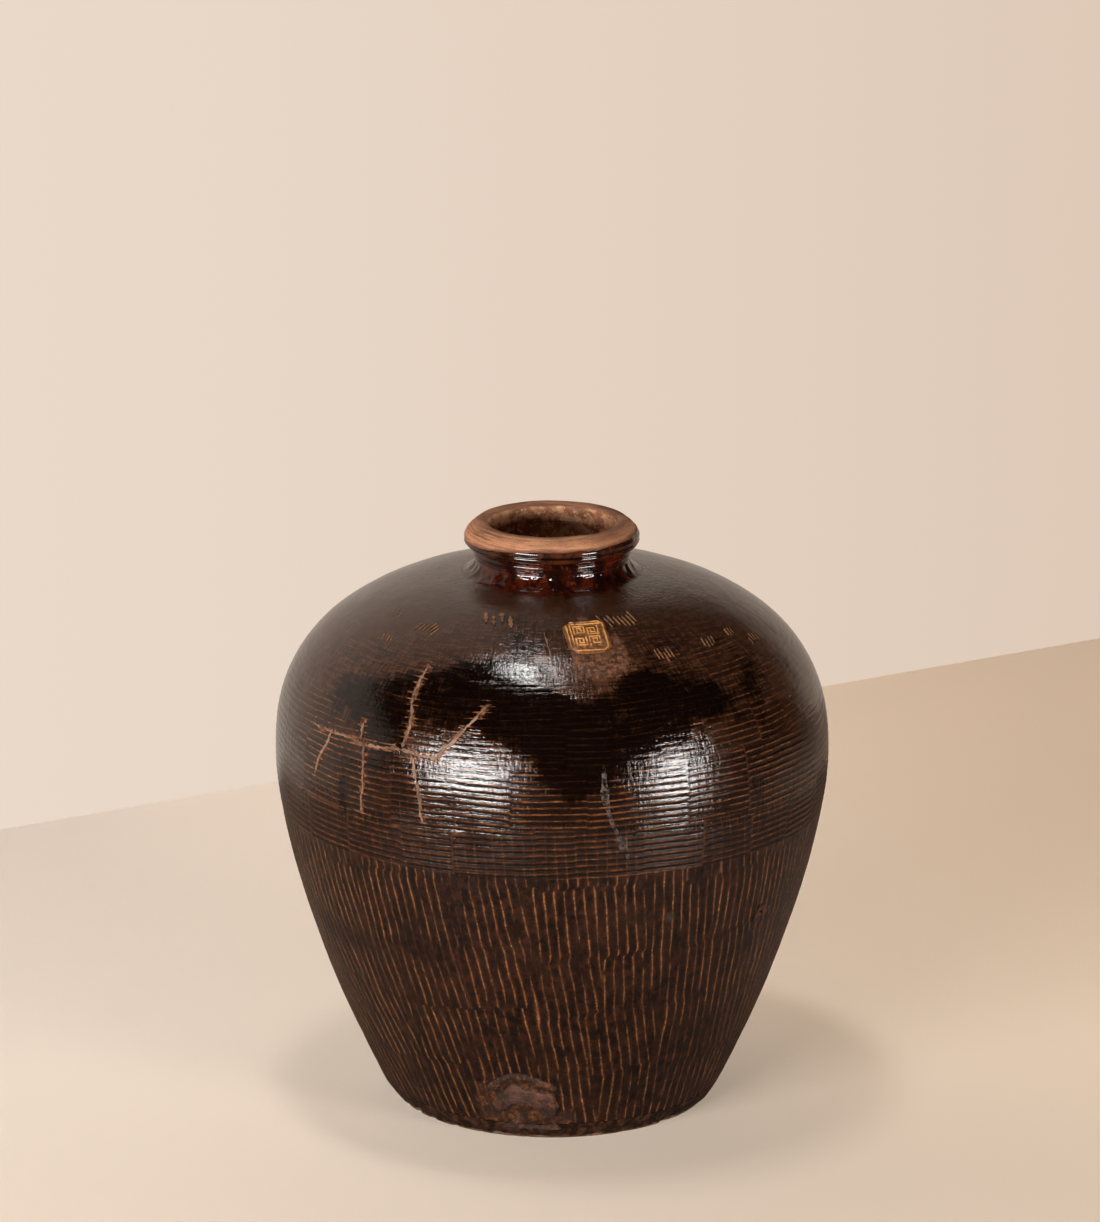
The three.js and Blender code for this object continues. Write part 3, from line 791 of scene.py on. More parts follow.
def shoulder():
    start = float(arc_at(SHOULDER_SEAM))
    end = float(ARCS[-1])
    arcs = np.concatenate([
        np.arange(start, start + RIBBED_LENGTH, 0.0009),
        np.arange(start + RIBBED_LENGTH, start + FADING_LENGTH, 0.0016),
        np.linspace(start + FADING_LENGTH, end, max(4, round((end - start - FADING_LENGTH) / 0.003))),
    ])
    inner = wall_points(np.linspace(end, arc_at(SHOULDER_SEAM + LAP_HEIGHT), 9), WALL)
    seat = SHOULDER_TOP - FLANGE_THICKNESS
    profile = [
        *wall_points(arcs),
        (FLANGE_RADIUS, seat), (NECK_RADIUS, seat), (NECK_RADIUS, inner[0][1]), *inner,
        *wall_points([arc_at(SHOULDER_SEAM + LAP_HEIGHT + LUTING_GAP), start], LEDGE),
    ]
    section = wall_section("shoulder_dome", profile, 740, BLACK_GLAZE, "shoulder_wall")
    mesh, outer, azimuth, height, arc = section
    store_chips(*section)
    store_spots(mesh, "scuffed", outer, azimuth, height, SCUFF_SPOTS)
    around = np.stack([np.sin(azimuth), np.cos(azimuth), height * 4], -1)
    runs = (end - arc) / 0.013 - grains(around, (0.8, 0.10, 3.0), (0.6, 0.03, 8.0))
    store(mesh, "neck_runs", outer, np.clip(1 - runs, 0, 1) ** 1.5)


shoulder()

# Neck: a short collar thrown apart and set into the shoulder on its flange, with a thin ring under the
# lip. Its red-brown glaze ran down in streaks and pooled black.
MOUTH_RADIUS = 0.052
NECK_TOP = 0.459
NECK_FLARE = 0.0096
NECK_ROLL = 0.0017
NECK_ROLL_HEIGHT = 0.4545
NECK_WAIST = 0.0006
NECK_SHOULDER = 0.0008
TONGUE_RADIUS = MOUTH_RADIUS + (NECK_RADIUS - MOUTH_RADIUS) / 2
TONGUE_TOP = NECK_TOP + 0.004


def hump(value, centre, width):
    """Bell curve that is 1 at its centre."""
    return np.exp(-((value - centre) / width) ** 2)


def russet_glaze(coords):
    skin = use(GLAZE_GRAIN, coords)
    drips = use(RUSSET, coords)
    dented = bump(skin["Mottle"] * 0.5 + drips["Height"] * 0.8, 0.6, 0.0006)
    return {
        "Base Color": drips["Colour"], "Roughness": ease(skin["Pits"], 0.3, 0.8, 0.08, 0.20), "IOR": 1.4,
        "Normal": dented, "Coat Normal": dented, "Coat Weight": 0.8, "Coat IOR": 1.45, "Coat Roughness": 0.03,
    }


def throat_mottle(coords):
    """Thin mottled glaze inside the neck and lip, brightened as painted light, with pale beads as painted
    glints.
    """
    skin = use(GLAZE_GRAIN, coords)
    glint_beads = speckle(coords, 330.0, 2.0, 0.6)
    # Painted light: these colours are brightened for light falling into the throat.
    colour = mix(ease(skin["Mottle"], 0.40, 0.62), (0.340, 0.125, 0.056), (0.800, 0.400, 0.210))
    colour = mix(ease(skin["Clouds"], 0.45, 0.65, 0.0, 0.6), colour, (0.420, 0.200, 0.070))
    return {
        # Painted glints: the pale beads are bright specks standing for sparkle on the glaze.
        "Colour": mix(ease(glint_beads, 0.56, 0.66, 0.0, 0.7), colour, (0.80, 0.560, 0.400)),
        "Height": skin["Mottle"] * 1.2 + glint_beads, "Roughness": ease(skin["Mottle"], 0.3, 0.7, 0.10, 0.40),
    }


THROAT = group("throat mottle", ["Coords"], throat_mottle)


def throat_glaze(coords):
    skin = use(THROAT, coords)
    return {
        "Base Color": skin["Colour"], "Roughness": skin["Roughness"], "IOR": 1.5,
        "Normal": bump(skin["Height"], 0.9, 0.0009),
    }


RUSSET_GLAZE = finish("russet neck glaze", russet_glaze)
THROAT_GLAZE = finish("thin throat glaze", throat_glaze)


def neck_collar():
    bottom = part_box("neck_collar")[0].z
    seat = SHOULDER_TOP - FLANGE_THICKNESS + LUTING_GAP
    flange = FLANGE_RADIUS - 0.0001
    flare = []
    for t in np.linspace(0, 1, 15):
        spread = (flange - NECK_RADIUS) * (1 - t) ** 1.5
        flare.append((NECK_RADIUS + spread, SHOULDER_TOP + NECK_FLARE * t ** 1.5))
    side = []
    for z in np.linspace(flare[-1][1], NECK_TOP, 26)[1:]:
        swell = NECK_ROLL * hump(z, NECK_ROLL_HEIGHT, 0.0027)
        waist = NECK_WAIST * hump(z, NECK_ROLL_HEIGHT - 0.0062, 0.0022)
        rounded = NECK_SHOULDER * hump(z, NECK_TOP, 0.0012)
        side.append((NECK_RADIUS + swell - waist - rounded, z))
    profile = [
        (NECK_RADIUS - LUTING_GAP, bottom), (NECK_RADIUS - LUTING_GAP, seat), (flange, seat), *flare, *side,
        (TONGUE_RADIUS, NECK_TOP), (TONGUE_RADIUS, TONGUE_TOP),
        *[(MOUTH_RADIUS, z) for z in np.linspace(TONGUE_TOP, bottom, 13)],
    ]
    finishes = [RUSSET_GLAZE, THROAT_GLAZE]
    mesh = piece("neck_collar_glazed", turn(profile, 420), finishes, "russet_glaze", "neck_collar")
    points = points_of(mesh)
    radius, _ = polar(points)
    height = points[:, 2]
    free = (radius > NECK_RADIUS - 0.0001) & (radius < flange - 0.0001) & (height > SHOULDER_TOP + 0.0001)
    dents = grains(points, (0.0003, 0.024, 3.0), (0.0002, 0.007, 6.0))
    drips = 0.0011 * grain(points * (1, 1, 0.2), 0.0062, 9.0)
    drips *= ramp(height, NECK_ROLL_HEIGHT - 0.003, -0.004) * ramp(height, SHOULDER_TOP, 0.003)
    points[:, :2] *= (1 + np.where(free, dents + drips - 0.0002, 0) / radius)[:, None]
    set_points(mesh, points)
    inside = face_centres(mesh)[0] < MOUTH_RADIUS + 0.0002
    mesh.polygons.foreach_set("material_index", inside.astype(np.int32))


neck_collar()

# Rolled lip: a fat flattened coil of clay that leans outwards, pressed down over the neck's tongue and
# thrown smooth. Its top is bare clay, its lower outside is glazed red-brown, and the throat's thin glaze
# runs up its inside.
LIP_RADIUS = 0.061
LIP_HALF_WIDTH = 0.0114
LIP_HALF_THICKNESS = 0.008
LIP_TILT = math.radians(45)
LIP_HALF_HEIGHT = math.hypot(LIP_HALF_WIDTH * math.sin(LIP_TILT), LIP_HALF_THICKNESS * math.cos(LIP_TILT))
LIP_HEIGHT = NECK_TOP + LIP_HALF_HEIGHT - LUTING_GAP
LIP_GROOVES = [(40, 5, -0.0003), (9, 6, -0.0003), (86, 7, -0.0002), (64, 5, -0.0002)]
LIP_JOINT = 0.4642
LIP_GLAZE_TOP = 0.4698
LIP_TOP = 0.4785


def lip_clay(coords):
    tree = coords.tree
    skin = use(GLAZE_GRAIN, coords)
    clay = use(ROUGH_CLAY, coords, (0.560, 0.260, 0.130), (0.290, 0.118, 0.056), 1.0)
    throat = use(THROAT, coords)
    wiped = speckle(coords, (26, 26, 620), 3.0, 0.65)
    colour = mix(ease(wiped, 0.53, 0.66, 0.0, 0.7), clay["Colour"], (0.125, 0.044, 0.021))
    # The clay is darker round the right and the back, away from the left front.
    darker_clay = mix(ease(wiped, 0.4, 0.6), (0.190, 0.076, 0.038), (0.420, 0.180, 0.092))
    colour = mix(attribute(tree, "darker_away_from_left_front"), colour, darker_clay)
    uneven = (wiped - 0.5) * 0.5 + (skin["Mottle"] - 0.5) * 0.5
    edge = attribute(tree, "glazed") + uneven
    colour = mix(ease(edge, 0.05, 0.42, 0.0, 0.85), colour, (0.120, 0.038, 0.015))
    glaze = ease(edge, 0.44, 0.60)
    red = mix(ease(skin["Mottle"], 0.40, 0.64), (0.016, 0.0048, 0.0025), (0.075, 0.0190, 0.0065))
    # Painted shade: the groove under the lip, where it meets the neck's ring, is darkened almost to black.
    red = mix(attribute(tree, "groove_shade"), red, (0.0020, 0.0008, 0.0006))
    # The lined inside takes the throat's colours, with their painted light and painted glints.
    lined = ease(attribute(tree, "lined") + uneven, 0.25, 0.75)
    bumps = (clay["Height"] + wiped * 1.1) * ease(glaze, 0, 1, 1.0, 0.15) + throat["Height"] * (lined * 1.3)
    return {
        "Base Color": mix(lined, mix(glaze, colour, red), throat["Colour"]),
        "Roughness": 0.64 - glaze * 0.52 - lined * 0.38, "IOR": 1.45, "Normal": bump(bumps, 0.6, 0.0007),
        "Coat Weight": glaze * 0.8, "Coat IOR": 1.45, "Coat Roughness": 0.05,
    }


def rolled_lip():
    spread = math.atan2(LIP_HALF_THICKNESS, LIP_HALF_WIDTH)
    start = -math.acos((LIP_HEIGHT - NECK_TOP - LUTING_GAP) / LIP_HALF_HEIGHT) - spread
    end = 2 * math.pi - math.acos((MOUTH_RADIUS - LIP_RADIUS) / LIP_HALF_HEIGHT) + spread
    profile = []
    for t in np.linspace(start, end, 84):
        grooved = sum(depth * hump(math.degrees(t), at, wide) for at, wide, depth in LIP_GROOVES)
        across = (LIP_HALF_WIDTH + grooved) * math.cos(t)
        up = (LIP_HALF_THICKNESS + grooved) * math.sin(t)
        profile.append((
            LIP_RADIUS + across * math.cos(LIP_TILT) + up * math.sin(LIP_TILT),
            LIP_HEIGHT - across * math.sin(LIP_TILT) + up * math.cos(LIP_TILT),
        ))
    tongue_top = TONGUE_TOP + TOLERANCE
    profile += [(MOUTH_RADIUS, z) for z in np.linspace(profile[-1][1], tongue_top, 5)[1:]]
    profile += [(TONGUE_RADIUS + LUTING_GAP, tongue_top), (TONGUE_RADIUS + LUTING_GAP, NECK_TOP + LUTING_GAP)]
    finishes = [finish("wiped lip clay", lip_clay)]
    mesh = piece("rolled_lip_clay", turn(profile, 420), finishes, "bare_clay", "rolled_lip")
    points = points_of(mesh)
    radius, azimuth = polar(points)
    degrees = np.degrees(azimuth)
    height = points[:, 2]
    free = ramp(height, NECK_TOP + 0.0012, 0.003)
    out = (radius - LIP_RADIUS) / np.hypot(radius - LIP_RADIUS, height - LIP_HEIGHT)
    inner_bead = 0.0012 * hump(height, 0.4755, 0.004)
    joint = 0.0004 * hump(height, LIP_JOINT - 0.0022, 0.0012) - 0.0009 * hump(height, LIP_JOINT, 0.0009)
    worn = grains(points, (0.0006, 0.030, 4.0), (0.0002, 0.009, 7.0)) - 0.0003
    worn += np.where(radius < LIP_RADIUS, inner_bead, 0) + np.where(radius > LIP_RADIUS, joint, 0)
    points[:, :2] *= (1 + free * worn * out / radius)[:, None]
    points[:, 2] += free * worn * np.sqrt(np.clip(1 - out ** 2, 0, 1)) * np.sign(height - LIP_HEIGHT)
    set_points(mesh, points)
    everywhere = np.full(len(radius), True)
    scallops = 0.0005 * grain(points * (1, 1, 0), 0.020, 2.0)
    bared = ramp(degrees, -12, -50) * 0.0050 - ramp(degrees, 30, 60) * 0.002
    above_edge = height - (LIP_GLAZE_TOP + scallops - bared)
    glazed = ramp(radius, LIP_RADIUS - 0.001, 0.003) * ramp(above_edge, 0.0025, -0.005)
    store(mesh, "glazed", everywhere, glazed)
    # Painted shade: how deep into the dark groove under the lip each point lies, strongest at the front.
    groove_shade = hump(height, LIP_JOINT, 0.0011) * np.clip(1.4 - np.abs(degrees - 5) / 50, 0.3, 1)
    store(mesh, "groove_shade", everywhere, groove_shade)
    store(mesh, "lined", everywhere, ramp(radius, 0.0585, -0.006) * ramp(height, LIP_TOP, -0.004))
    # Darker away from the left front, from 50 degrees off it round to the back, with some noise.
    darker_away_from_left_front = ramp(np.abs(degrees + 35), 50, 90) + 0.3 * grain(points, 0.03, 14.0)
    store(mesh, "darker_away_from_left_front", everywhere, np.clip(darker_away_from_left_front, 0, 0.9))


rolled_lip()

# Stamped pad: a square of ochre clay with its corners cut off, pressed on the shoulder with a carved
# stamp. The stamp's face here is a plain fret inside a double border, whose lines are in millimetres.
PAD_AZIMUTH = math.radians(11.3)
PAD_RADIUS = 0.140
PAD_WIDTH = 0.035
PAD_LENGTH = 0.040
PAD_CORNER = 0.007
PAD_FACE = 0.0009
PAD_STROKE = 0.0009
PAD_BEVEL = 0.0016
FRET = [(-4.1, -5.2), (-4.1, 5.2), (4.1, 5.2), (4.1, -3.0), (-1.5, -3.0), (-1.5, 2.6), (1.6, 2.6), (1.6, -0.4)]
FRET_SQUASH = 0.92
FRET_CENTRES = [(-5.4, 6.3, 1), (5.4, 6.3, -1), (-5.4, -6.3, -1), (5.4, -6.3, 1)]
PAD_LINES = [
    [(-14.6, -14.4), (-14.6, 14.4), (-11.6, 17.2), (11.6, 17.2), (14.6, 14.4), (14.6, -14.4),
     (11.6, -17.2), (-11.6, -17.2), (-14.6, -14.4)],
    [(-11.9, -13.6), (-11.9, 14.2), (11.6, 14.4)],
]
OUTSIDE_LIFT = -0.01


def on_wall(azimuth, arc, lift):
    """Points in space at azimuths and lengths up the wall, lifted off its surface."""
    height = height_at(arc)
    out, up = wall_normal(height)
    radius = wall_radius(height) + lift * out
    return around_axis(radius, azimuth, height + lift * up)


def line_distance(x, y, points):
    """Distance of each place from a bent line."""
    nearest = np.full(len(x), 1000.0)
    for (ax, ay), (bx, by) in zip(points, points[1:]):
        share = np.clip(((x - ax) * (bx - ax) + (y - ay) * (by - ay)) / ((bx - ax) ** 2 + (by - ay) ** 2), 0, 1)
        nearest = np.minimum(nearest, np.hypot(x - ax - share * (bx - ax), y - ay - share * (by - ay)))
    return nearest


def flat_points(x, y):
    return np.stack([x, y, x * 0], -1)


def slab_on_wall(name, azimuth, arc, wide, tall, cell, lift_at, bottom, clay, slot, node, keep=-1.0):
    """A thin slab shaped on a flat grid by a height function, then laid on the wall."""
    bm = bmesh.new()
    bmesh.ops.create_grid(bm, x_segments=round(wide / cell), y_segments=round(tall / cell), size=0.5)
    bmesh.ops.scale(bm, vec=(wide, tall, 1), verts=bm.verts)
    flat = np.array([vert.co for vert in bm.verts])
    lifts = lift_at(flat[:, 0], flat[:, 1])
    for vert, lift in zip(bm.verts, lifts):
        vert.co.z = lift
    bmesh.ops.delete(bm, geom=[vert for vert in bm.verts if vert.co.z < keep], context="VERTS")
    below = bmesh.ops.extrude_face_region(bm, geom=bm.faces[:])["geom"]
    for vert in below:
        if isinstance(vert, bmesh.types.BMVert):
            vert.co.z = bottom
    mesh = piece(name, bm, [clay], slot, node)
    points = points_of(mesh)
    top = points[:, 2] > bottom + 0.00001
    arcs = arc + points[:, 1]
    azimuths = azimuth + points[:, 0] / wall_radius(height_at(arcs))
    store(mesh, "lift", top, points[top, 2] * 1000)
    set_points(mesh, on_wall(azimuths, arcs, points[:, 2]))


def pad_lift(x, y):
    mm_x, mm_y = x * 1000, y * 1000
    strokes = [line_distance(mm_x, mm_y, line) for line in PAD_LINES]
    for centre_x, centre_y, flip in FRET_CENTRES:
        hook = [(centre_x + flip * px, centre_y + flip * py * FRET_SQUASH) for px, py in FRET]
        strokes.append(line_distance(mm_x, mm_y, hook))
    flat = flat_points(x, y)
    nearest = np.min(strokes, axis=0) + 0.35 * grain(flat, 0.0030, 8.0)
    stroke = 1 - ramp(nearest, 0.25, 0.60)
    corner = (np.abs(x) + np.abs(y) - (PAD_WIDTH + PAD_LENGTH) / 2 + PAD_CORNER) * 0.7
    edge = np.maximum(np.maximum(np.abs(x) - PAD_WIDTH / 2, np.abs(y) - PAD_LENGTH / 2), corner)
    edge = edge + grains(flat, (0.0010, 0.009, 2.0), (0.0004, 0.003, 3.0))
    worn = 0.65 + 0.7 * grain(flat, 0.006, 5.0)
    face = PAD_FACE + PAD_STROKE * stroke * np.clip(worn, 0.15, 1) + 0.00025 * grain(flat, 0.0025, 6.0)
    bevel = PAD_BEVEL * np.clip(1 + edge / PAD_BEVEL, 0, 1) ** 2
    return np.where(edge > 0, OUTSIDE_LIFT, face - bevel)


def stamp_clay(coords):
    skin = use(GLAZE_GRAIN, coords)
    lift = attribute(coords.tree, "lift")
    colour = mix(ease(lift, 0.80, 1.45), (0.110, 0.037, 0.009), (0.760, 0.340, 0.090))
    colour = mix(ease(skin["Mottle"], 0.42, 0.70, 0.0, 0.6), colour, (0.34, 0.115, 0.024))
    return {
        "Base Color": mix(skin["Specks"] * 0.6, colour, (0.09, 0.030, 0.011)),
        "Roughness": ease(skin["Pits"], 0.3, 0.7, 0.3, 0.5), "IOR": 1.5,
        "Normal": bump(skin["Pits"], 0.5, 0.0004),
    }


DOME = HEIGHTS >= BELLY_HEIGHT
pad_arc = float(np.interp(-PAD_RADIUS, -wall_radius(HEIGHTS[DOME]), ARCS[DOME]))
slab_on_wall(
    "stamped_pad", PAD_AZIMUTH, pad_arc, PAD_WIDTH, PAD_LENGTH, 0.0004, pad_lift, -0.0015,
    finish("ochre stamp clay", stamp_clay), "stamp_clay", "seal_pad",
)

# Kiln scar: a crust of coarse clay that fused to the foot in the kiln and was broken off, leaving a
# ragged plateau round a hollow, and a lump of clay on the foot's edge. Its outlines are in millimetres.
SCAR_AZIMUTH = math.radians(-8.8)
SCAR_HEIGHT = 0.038
PLATEAU = [
    (-25, -4), (-22, 6), (-15, 12), (-6, 21), (3, 17), (15, 14), (26, 9), (28, -4), (25, -15), (16, -20),
    (12, -8), (2, -1), (-9, -3), (-14, -10), (-21, -14),
]
PLATEAU_RISE = 0.0030
RIM_RISE = 0.0013
RIM_HALF_WIDTH = 3.2
RIM = [(-24, 14), (-19, 20), (-10, 26), (1, 27), (14, 21), (25, 15)]
CLAY_LUMP = [(-20, -31), (-12, -25), (-3, -17), (1, -19), (-2, -26), (14, -27), (24, -25), (30, -31)]
CLAY_LUMP_RISE = 0.0016


def inside_shape(x, y, corners):
    inside = np.zeros(len(x), bool)
    for (ax, ay), (bx, by) in zip(corners, corners[1:] + corners[:1]):
        spans = (ay > y) != (by > y)
        inside ^= spans & (x < (bx - ax) * (y - ay) / (by - ay + 1e-12) + ax)
    return inside


def scar_lift(x, y):
    flat = flat_points(x, y)
    mm_x = x * 1000 + grains(flat, (1.6, 0.007, 1.0), (0.6, 0.0025, 2.0))
    mm_y = y * 1000 + grains(flat, (1.6, 0.007, 4.0), (0.6, 0.0025, 5.0))
    rough = grains(flat, (0.0005, 0.006, 7.0), (0.0003, 0.002, 9.0), (0.00015, 0.0009, 11.0))
    rim = 1 - line_distance(mm_x, mm_y, RIM) / RIM_HALF_WIDTH
    lift = np.where(rim > -0.3, RIM_RISE * np.clip(rim, -0.4, 1) + rough * 1.6, OUTSIDE_LIFT)
    higher_up = 0.55 + 0.45 * ramp(mm_y, -18, 30)
    for corners, rise in ((PLATEAU, PLATEAU_RISE * higher_up), (CLAY_LUMP, CLAY_LUMP_RISE)):
        depth = line_distance(mm_x, mm_y, corners + corners[:1]) / 1000
        depth = np.where(inside_shape(mm_x, mm_y, corners), depth, -depth)
        crust = rise * np.clip(depth / 0.0014, -0.4, 1) + rough
        lift = np.maximum(lift, np.where(depth > -0.0008, crust, OUTSIDE_LIFT))
    return lift


def scar_clay(coords):
    skin = use(GLAZE_GRAIN, coords)
    clay = use(ROUGH_CLAY, coords, (0.170, 0.076, 0.050), (0.026, 0.011, 0.008), 0.2)
    rusty = mix(skin["Rust"], (0.032, 0.012, 0.006), (0.200, 0.070, 0.024))
    low = ease(attribute(coords.tree, "lift") + skin["Mottle"] * 3.2, 3.4, 4.6)
    colour = mix(skin["Rust"] * 0.55, mix(low, rusty, clay["Colour"]), (0.110, 0.036, 0.014))
    return {
        "Base Color": mix(skin["Specks"] * 0.5, colour, (0.020, 0.009, 0.006)),
        "Roughness": clay["Roughness"], "IOR": 1.45,
        "Normal": bump(clay["Height"] + skin["Pits"] * 1.2, 0.9, 0.0009),
    }


SCAR_CLAY = finish("fused scar clay", scar_clay)
slab_on_wall(
    "kiln_scar_crust", SCAR_AZIMUTH, float(arc_at(SCAR_HEIGHT)), 0.066, 0.062, 0.0008, scar_lift, -0.002,
    SCAR_CLAY, "scar_clay", "kiln_scar", keep=-0.0009,
)

# Kiln grit: a small ring of sandy clay on the right, where another pot's foot or a prop stuck. The ring is
# open towards the lower right, and its bead is broken into crumbs.
GRIT_AZIMUTH = math.radians(53)
GRIT_HEIGHT = 0.186
GRIT_RING = (0.0050, 0.0075)
GRIT_RISE = 0.0011


def grit_lift(x, y):
    flat = flat_points(x, y)
    ring = np.hypot(x / GRIT_RING[0], y / GRIT_RING[1]) + 0.16 * grain(flat, 0.0035, 3.0)
    opening = np.clip(x / 0.012 - y / 0.006 - 0.1, 0, 1)
    bead = 1 - np.abs(ring - 1) / 0.30 - 3 * opening
    crumbs = np.clip(0.5 + 0.6 * grain(flat, 0.0022, 6.0), 0.2, 1)
    return np.where(bead > -0.4, GRIT_RISE * np.clip(bead, -0.4, 1) * crumbs + 0.0001, OUTSIDE_LIFT)


slab_on_wall(
    "kiln_grit_ring", GRIT_AZIMUTH, float(arc_at(GRIT_HEIGHT)), 0.0138, 0.0198, 0.0004, grit_lift, -0.0015,
    SCAR_CLAY, "scar_clay", "kiln_grit", keep=-0.0004,
)

# Crack fillings: pale lime mortar pressed into each crack and wiped, so that it stands a little proud,
# is ragged along the ribs and has lost flakes.
FILLING_HALF_WIDTH = 0.0009
FILLING_CROWN = 0.00028
FILLING_ROOT = 0.0012


def strand(bm, azimuths, arcs, half_widths, crown, root, sides=10):
    """Adds a thin bead along the wall, with a crowned top, a root in the wall and pointed ends."""
    steps = len(azimuths) - 1
    radius = wall_radius(height_at(arcs))
    along_x = np.gradient(azimuths) * radius
    along_y = np.gradient(arcs)
    length = np.hypot(along_x, along_y)
    side_x, side_y = -along_y / length, along_x / length
    taper = np.clip(np.minimum(np.arange(steps + 1), steps - np.arange(steps + 1)) / 3, 0, 1) ** 0.5
    verts = bmesh.ops.create_grid(bm, x_segments=steps, y_segments=sides, size=0.5)["verts"]
    grid = np.array([vert.co for vert in verts])
    i = np.round((grid[:, 0] + 0.5) * steps).astype(int)
    around = 2 * math.pi * np.round((grid[:, 1] + 0.5) * sides) / sides
    out = np.cos(around) * half_widths[i] * taper[i]
    crowns = crown[i] if np.ndim(crown) else crown
    lift = np.where(np.sin(around) > 0, np.sin(around) * crowns, np.sin(around) * root) * taper[i]
    placed = on_wall(azimuths[i] + out * side_x[i] / radius[i], arcs[i] + out * side_y[i], lift)
    for vert, point in zip(verts, placed):
        vert.co = point


def strands_piece(name, bm, clay, slot, *nodes):
    bmesh.ops.remove_doubles(bm, verts=bm.verts, dist=0.000002)
    piece(name, bm, [clay], slot, *nodes)


FILLING = finish("lime mortar filling", plain_clay, (0.33, 0.190, 0.120), (0.075, 0.033, 0.018), 0.1, 0.0012)
for number, (node, points) in enumerate(CRACKS.items()):
    azimuths, arcs = crack_line(points, 0.0007)
    places = on_wall(azimuths, arcs, 0.0)
    jitter = grains(places, (0.0012, 0.0080, number + 0.5), (0.0007, 0.0028, number + 7.5))
    sideways = grains(places, (0.0013, 0.0090, number + 9.5), (0.0007, 0.0030, number + 4.5))
    arcs = arcs + jitter * np.linspace(1, 0.4, len(arcs))
    azimuths = azimuths + sideways / wall_radius(height_at(arcs))
    widths = FILLING_HALF_WIDTH * np.clip(1 + 1.5 * grain(places, 0.0024, number + 3.3), 0.2, 2.0)
    crown = FILLING_CROWN * (1 + 0.95 * grain(places, 0.0021, number + 5.3))
    bm = bmesh.new()
    strand(bm, azimuths, arcs, widths, crown, FILLING_ROOT)
    strands_piece(node.replace("filler", "filling"), bm, FILLING, "filler", node)

# Smear: a thin film of the same mortar that ran down the belly and was never cleaned off. It is widest
# at two places, and flaky, so that the glaze shows through it.
SMEAR_CROWN = 0.00012
SMEAR_ROOT = 0.0011
SMEAR_LINE = [
    (10.5, 0.3400), (10.5, 0.3270), (10.6, 0.3130), (11.6, 0.2970), (12.8, 0.2870), (14.1, 0.2760),
    (15.5, 0.2630),
]


def mortar_film(coords):
    skin = use(GLAZE_GRAIN, coords)
    return {
        "Base Color": mix(skin["Breaks"], (0.070, 0.047, 0.037), (0.165, 0.122, 0.100)),
        "Alpha": ease(speckle(coords, 210.0, 4.0, 0.7), 0.42, 0.64, 0.0, 0.75),
        "Roughness": ease(skin["Pits"], 0.3, 0.7, 0.45, 0.7), "IOR": 1.45,
    }


azimuths, arcs = crack_line(SMEAR_LINE, 0.0012)
heights = height_at(arcs)
film = 0.0016 + 0.0018 * hump(heights, 0.318, 0.010) + 0.0024 * hump(heights, 0.276, 0.007)
film *= 1 + 0.5 * grain(on_wall(azimuths, arcs, 0.0), 0.006, 2.2)
bm = bmesh.new()
strand(bm, azimuths, arcs, film, SMEAR_CROWN, SMEAR_ROOT)
strands_piece("mortar_smear_film", bm, finish("thin mortar film", mortar_film), "filler", "mortar_smear")

# Rubbed ribs: stray paddle marks high on the shoulder, where the glaze has worn through to the orange clay
# on short stretches of the ribs, and one long scratch beside the stamped pad. Lengths are in millimetres.
RUBBED = finish("rubbed clay", plain_clay, (0.34, 0.160, 0.068), (0.12, 0.050, 0.021), 0.1, 0.0006)
RUBBED_CROWN = 0.00010
RUBBED_ROOT = 0.0010
RubbedPatch = namedtuple("RubbedPatch", "azimuth height length tilt count pitch half_width")
RUBBED_PATCHES = [
    RubbedPatch(24.9, 0.4271, 17, -7, 8, 3.9, 0.40), RubbedPatch(32.2, 0.4069, 12, -1, 5, 3.4, 0.45),
    RubbedPatch(48.8, 0.4083, 11, 17, 4, 3.6, 0.45), RubbedPatch(59.6, 0.4094, 10, 19, 3, 3.5, 0.35),
    RubbedPatch(-42.6, 0.4187, 13, 9, 6, 3.9, 0.45), RubbedPatch(-52.8, 0.4091, 10, -24, 4, 3.6, 0.45),
    RubbedPatch(-60.5, 0.4202, 11, -14, 4, 4.0, 0.35), RubbedPatch(-20.7, 0.4280, 18, -23, 4, 6.9, 1.4),
    RubbedPatch(-0.9, 0.4147, 42, -12, 1, 1.0, 0.40), RubbedPatch(4.6, 0.4045, 12, -10, 3, 4.6, 0.45),
    RubbedPatch(66.0, 0.4010, 10, 15, 4, 4.2, 0.35),
]
bm = bmesh.new()
for patch in RUBBED_PATCHES:
    tilt = math.radians(patch.tilt)
    for row in range(patch.count):
        aside = (row - (patch.count - 1) / 2) * patch.pitch / 1000 + dice.uniform(-0.0004, 0.0004)
        reach = patch.length / 1000 * dice.uniform(0.65, 1.0)
        along = np.linspace(-reach / 2, reach / 2, 18) + dice.uniform(-0.2, 0.2) * patch.length / 1000
        arcs = float(arc_at(patch.height)) + along * math.cos(tilt)
        azimuths = math.radians(patch.azimuth) + (aside + along * math.sin(tilt)) / wall_radius(height_at(arcs))
        places = on_wall(azimuths, arcs, 0.0)
        widths = patch.half_width / 1000 * np.clip(0.9 + 1.2 * grain(places, 0.0022, row + 0.5), 0.25, 1.5)
        strand(bm, azimuths, arcs, widths, RUBBED_CROWN, RUBBED_ROOT, sides=6)
strands_piece("rubbed_ribs", bm, RUBBED, "bare_clay")

